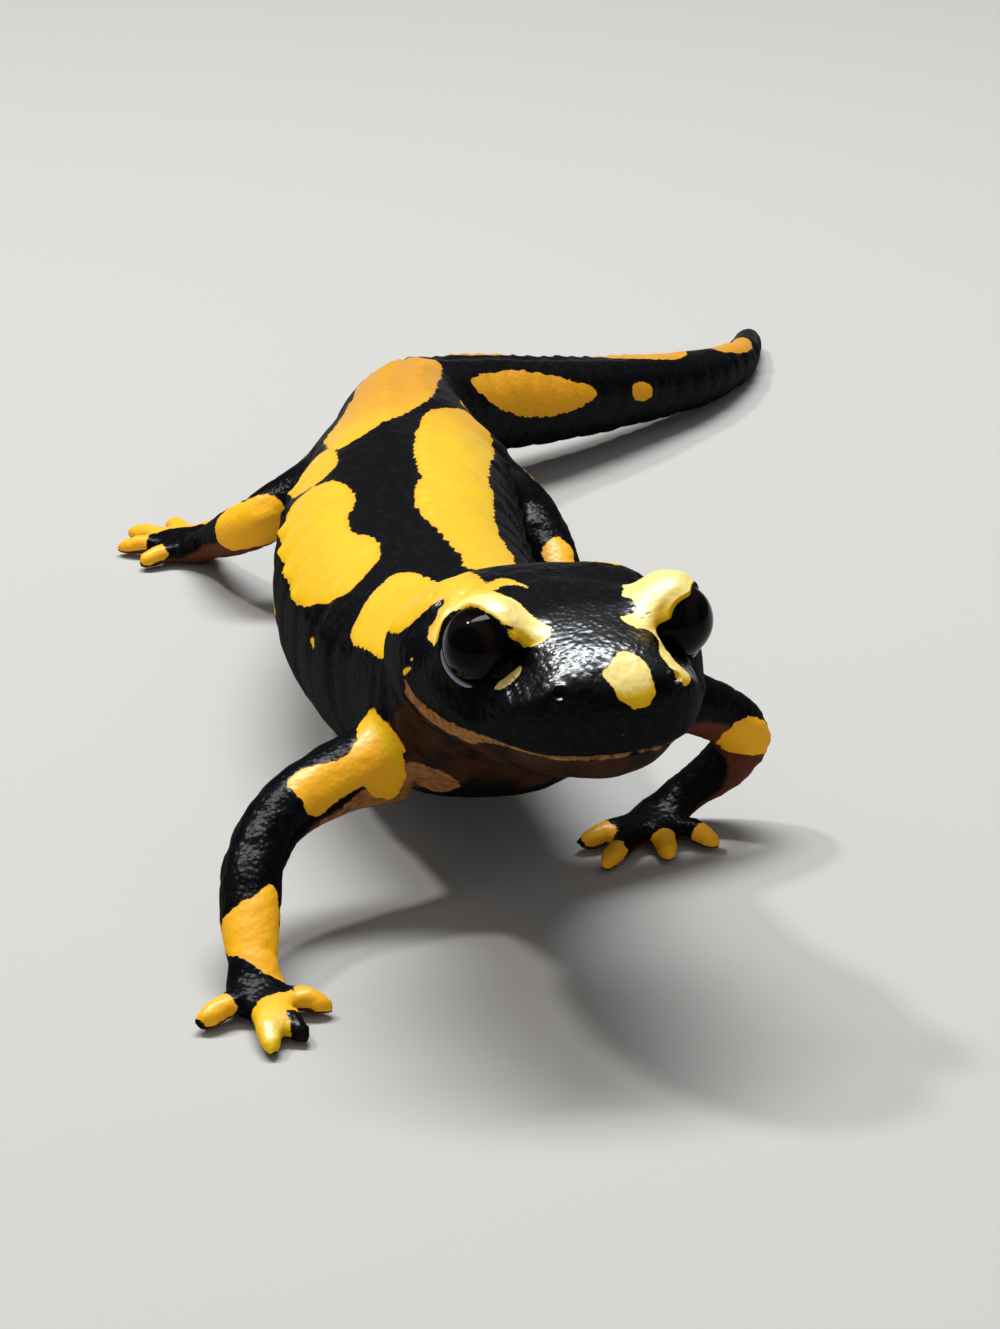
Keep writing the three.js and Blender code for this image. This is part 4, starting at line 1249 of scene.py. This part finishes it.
# %% Pigment, a painted highlight and painted shade
material, shader, w = new_material("salamander skin", {"Specular IOR Level": 0.0})
where = w.node("ShaderNodeTexCoord", None, None, out=3)
blotches = w.noise(where, 260, 3)
grain = w.noise(where, 1500, 3, 0.6)
ragged = (blotches - 0.5) * 0.7 + (grain - 0.5) * 1.0
is_yellow = (w.field("yellow") + ragged * 0.55).soft_step(-0.05, 0.06)
deep = w.field("yellow").soft_step(0.7, -0.1)
yellow_colour = (w.field("warm") * 0.7 + (blotches - 0.5) * 0.8).mix(deep.mix(YELLOW, YELLOW_DEEP), ORANGE)
# Painted shade: amber on the yellow from the hips back.
yellow_colour = (w.field("hind_shade") * 0.85 + (blotches - 0.5) * 0.4).mix(yellow_colour, AMBER_SHADE)
# Painted highlight: the yellow turns cream where the head faces up, less near a patch's rim.
painted_highlight = w.field("painted_highlight") * (1.25 - deep * 0.6) + (grain - 0.5) * 0.5
yellow_colour = painted_highlight.soft_step(0.1, 1.0).mix(yellow_colour, HIGHLIGHT_CREAM)
black_colour = grain.soft_step(0.45, 0.75).mix(BLACK, BLACK_WORN)
# Limb undersides turn reddish brown: partly their own colour, partly painted shade.
under = (w.field("under") * 1.2 + (blotches - 0.5) * 1.4).soft_step(0.35, 0.85)
colour = under.mix(black_colour, RED_BROWN_AND_SHADE)
# Brown throat and lower jaw, darkened as painted shade under the head.
is_brown = (w.field("brown") + ragged * 1.0).soft_step(-0.2, 0.35)
colour = is_brown.mix(colour, blotches.soft_step(0.35, 0.65).mix(THROAT_SHADED_DARK, THROAT_SHADED))
is_ochre = (w.field("ochre") + ragged * 0.7).soft_step(-0.08, 0.10)
colour = is_ochre.mix(colour, grain.soft_step(0.3, 0.7).mix(OCHRE_DARK, OCHRE))
colour = is_yellow.mix(colour, yellow_colour)

# %% Pebbles and gloss
# Pebbles are counted in a metre. Their height is in metres.
PEBBLES = 2300
PEBBLE_HEIGHT = 0.00008
cells = {"Vector": where, "Scale": PEBBLES, "Smoothness": 0.6}
pebbles = w.node("ShaderNodeTexVoronoi", dict(feature="SMOOTH_F1"), cells)
height_wire = (1 - pebbles) * 0.8 + grain * 0.5 + w.noise(where, 700, 2) * 0.6
bumps = {"Height": height_wire * (1 - is_yellow * 0.45), "Distance": PEBBLE_HEIGHT, "Strength": 1.0}
bump = w.node("ShaderNodeBump", None, bumps)
rough = 0.42 + is_brown * 0.1 + (grain - 0.5) * 0.2
wet_rough = 0.28 + is_yellow * 0.1 + (grain - 0.5) * 0.1
wet_shader = w.node("ShaderNodeBsdfPrincipled", None, {"Specular IOR Level": 0.9})
for made, its_rough in ((shader, rough), (wet_shader.socket.node, wet_rough)):
    for key, wire in {"Base Color": colour, "Normal": bump, "Roughness": its_rough}.items():
        w.tree.links.new(wire.socket, made.inputs[key])
dry_shader = Wire(w.tree, shader.outputs[0])
finish = w.node("ShaderNodeMixShader", None, {0: w.field("wet"), 1: dry_shader, 2: wet_shader})
w.tree.links.new(finish.socket, w.tree.nodes["Material Output"].inputs["Surface"])
skin.data.materials.append(material)
print("nodes in the finish of the skin:", len(w.tree.nodes))

# %% [markdown]
# ## The finish of eyes and tears
# The eyeball is smooth and wet, so it mirrors the lamps. The mirroring is kept faint, because most of what is
# round a real animal is dark. The brown ring of the iris lies between two angles from the gaze. The tear
# lines shine more, and their pale blue-grey colour is a painted sheen.

# %% Eye and tear materials
PUPIL, IRIS = (0.0015, 0.0015, 0.0015, 1), (0.006, 0.004, 0.003, 1)
IRIS_FROM, IRIS_TO = (24, 30), (48, 40)
# The tears' pale blue-grey is a painted sheen on clear water.
TEAR_SHEEN = (0.16, 0.19, 0.23, 1)
material, shader, w = new_material("eye", {"Roughness": 0.03, "IOR": 1.36, "Specular IOR Level": 0.1})
iris = w.field("from_gaze").soft_step(*IRIS_FROM) * w.field("from_gaze").soft_step(*IRIS_TO)
w.tree.links.new(iris.mix(PUPIL, IRIS).socket, shader.inputs["Base Color"])
for eye in eyes:
    eye.data.materials.append(material)
water = new_material("tear", {"Base Color": TEAR_SHEEN, "Roughness": 0.25, "Specular IOR Level": 1.0})[0]
for tear in tears:
    tear.data.materials.append(water)

# %% [markdown]
# ## Camera, floor and light
# The camera stands close before the animal and looks down on it, so the head is large and the hips are small.
# A long soft panel overhead draws the wet highlights, a small lamp beside it gives them their bright cores,
# and a wide lamp from the front fills the shadows. Nothing mirrors that one. Lengths here are in metres.

# %% Camera
CAMERA_PLACE = Vector((0.004, -0.317, 0.1244))
CAMERA_DOWN = 22
# The height of the picture and the focal length of the lens, both counted in the picture's own dots.
FRAME_HEIGHT, FOCAL_LENGTH = 1329, 3780
camera_data = bpy.data.cameras.new("camera")
camera_data.sensor_fit = "VERTICAL"
camera_data.sensor_height = 36
camera_data.lens = FOCAL_LENGTH / FRAME_HEIGHT * camera_data.sensor_height
camera_data.clip_start = 0.01
camera = bpy.data.objects.new("camera", camera_data)
camera.location = CAMERA_PLACE
camera.rotation_euler = (np.radians(90 - CAMERA_DOWN), 0, 0)
bpy.context.scene.collection.objects.link(camera)
bpy.context.scene.camera = camera
print("lens:", round(camera_data.lens, 1), "mm")

# %% Floor
HALF_FLOOR = 1.5
FLOOR_GREY = (0.45, 0.435, 0.41, 1)
floor_corners = [(x * HALF_FLOOR, y * HALF_FLOOR, 0) for x, y in ((-1, -1), (1, -1), (1, 1), (-1, 1))]
floor_mesh = bpy.data.meshes.new("floor")
floor_mesh.from_pydata(floor_corners, [], [(0, 1, 2, 3)])
floor = bpy.data.objects.new("floor", floor_mesh)
bpy.context.scene.collection.objects.link(floor)
floor_mesh.materials.append(new_material("floor", {"Base Color": FLOOR_GREY, "Roughness": 0.9})[0])

# %% Light
LIT_PLACE = Vector((0.005, -0.06, 0.02))


def area_light(name, direction, distance, size, size_y, watts):
    """An oval lamp at a distance from the lit place, in the given direction, that faces the place."""
    data = bpy.data.lights.new(name, "AREA")
    data.shape = "ELLIPSE"
    data.size = size
    data.size_y = size_y
    data.energy = watts
    lamp = bpy.data.objects.new(name, data)
    lamp.location = LIT_PLACE + Vector(direction).normalized() * distance
    lamp.rotation_euler = (LIT_PLACE - lamp.location).to_track_quat("-Z", "Y").to_euler()
    bpy.context.scene.collection.objects.link(lamp)
    return lamp


softbox = area_light("softbox", (-0.03, 0.28, 0.95), 0.7, 0.55, 0.17, 6.0)
softbox.data.color = (0.93, 0.97, 1.0)
area_light("key", (-0.49, 0.24, 0.835), 0.7, 0.07, 0.07, 1.9)
front = area_light("front", (-0.1, -0.8, 0.7), 2.2, 4.4, 4.4, 26)
front.visible_glossy = False
world = bpy.data.worlds.new("world")
world.use_nodes = True
world.node_tree.nodes["Background"].inputs[0].default_value = (0.08, 0.08, 0.085, 1)
bpy.context.scene.world = world
bpy.context.scene.view_settings.view_transform = "Standard"
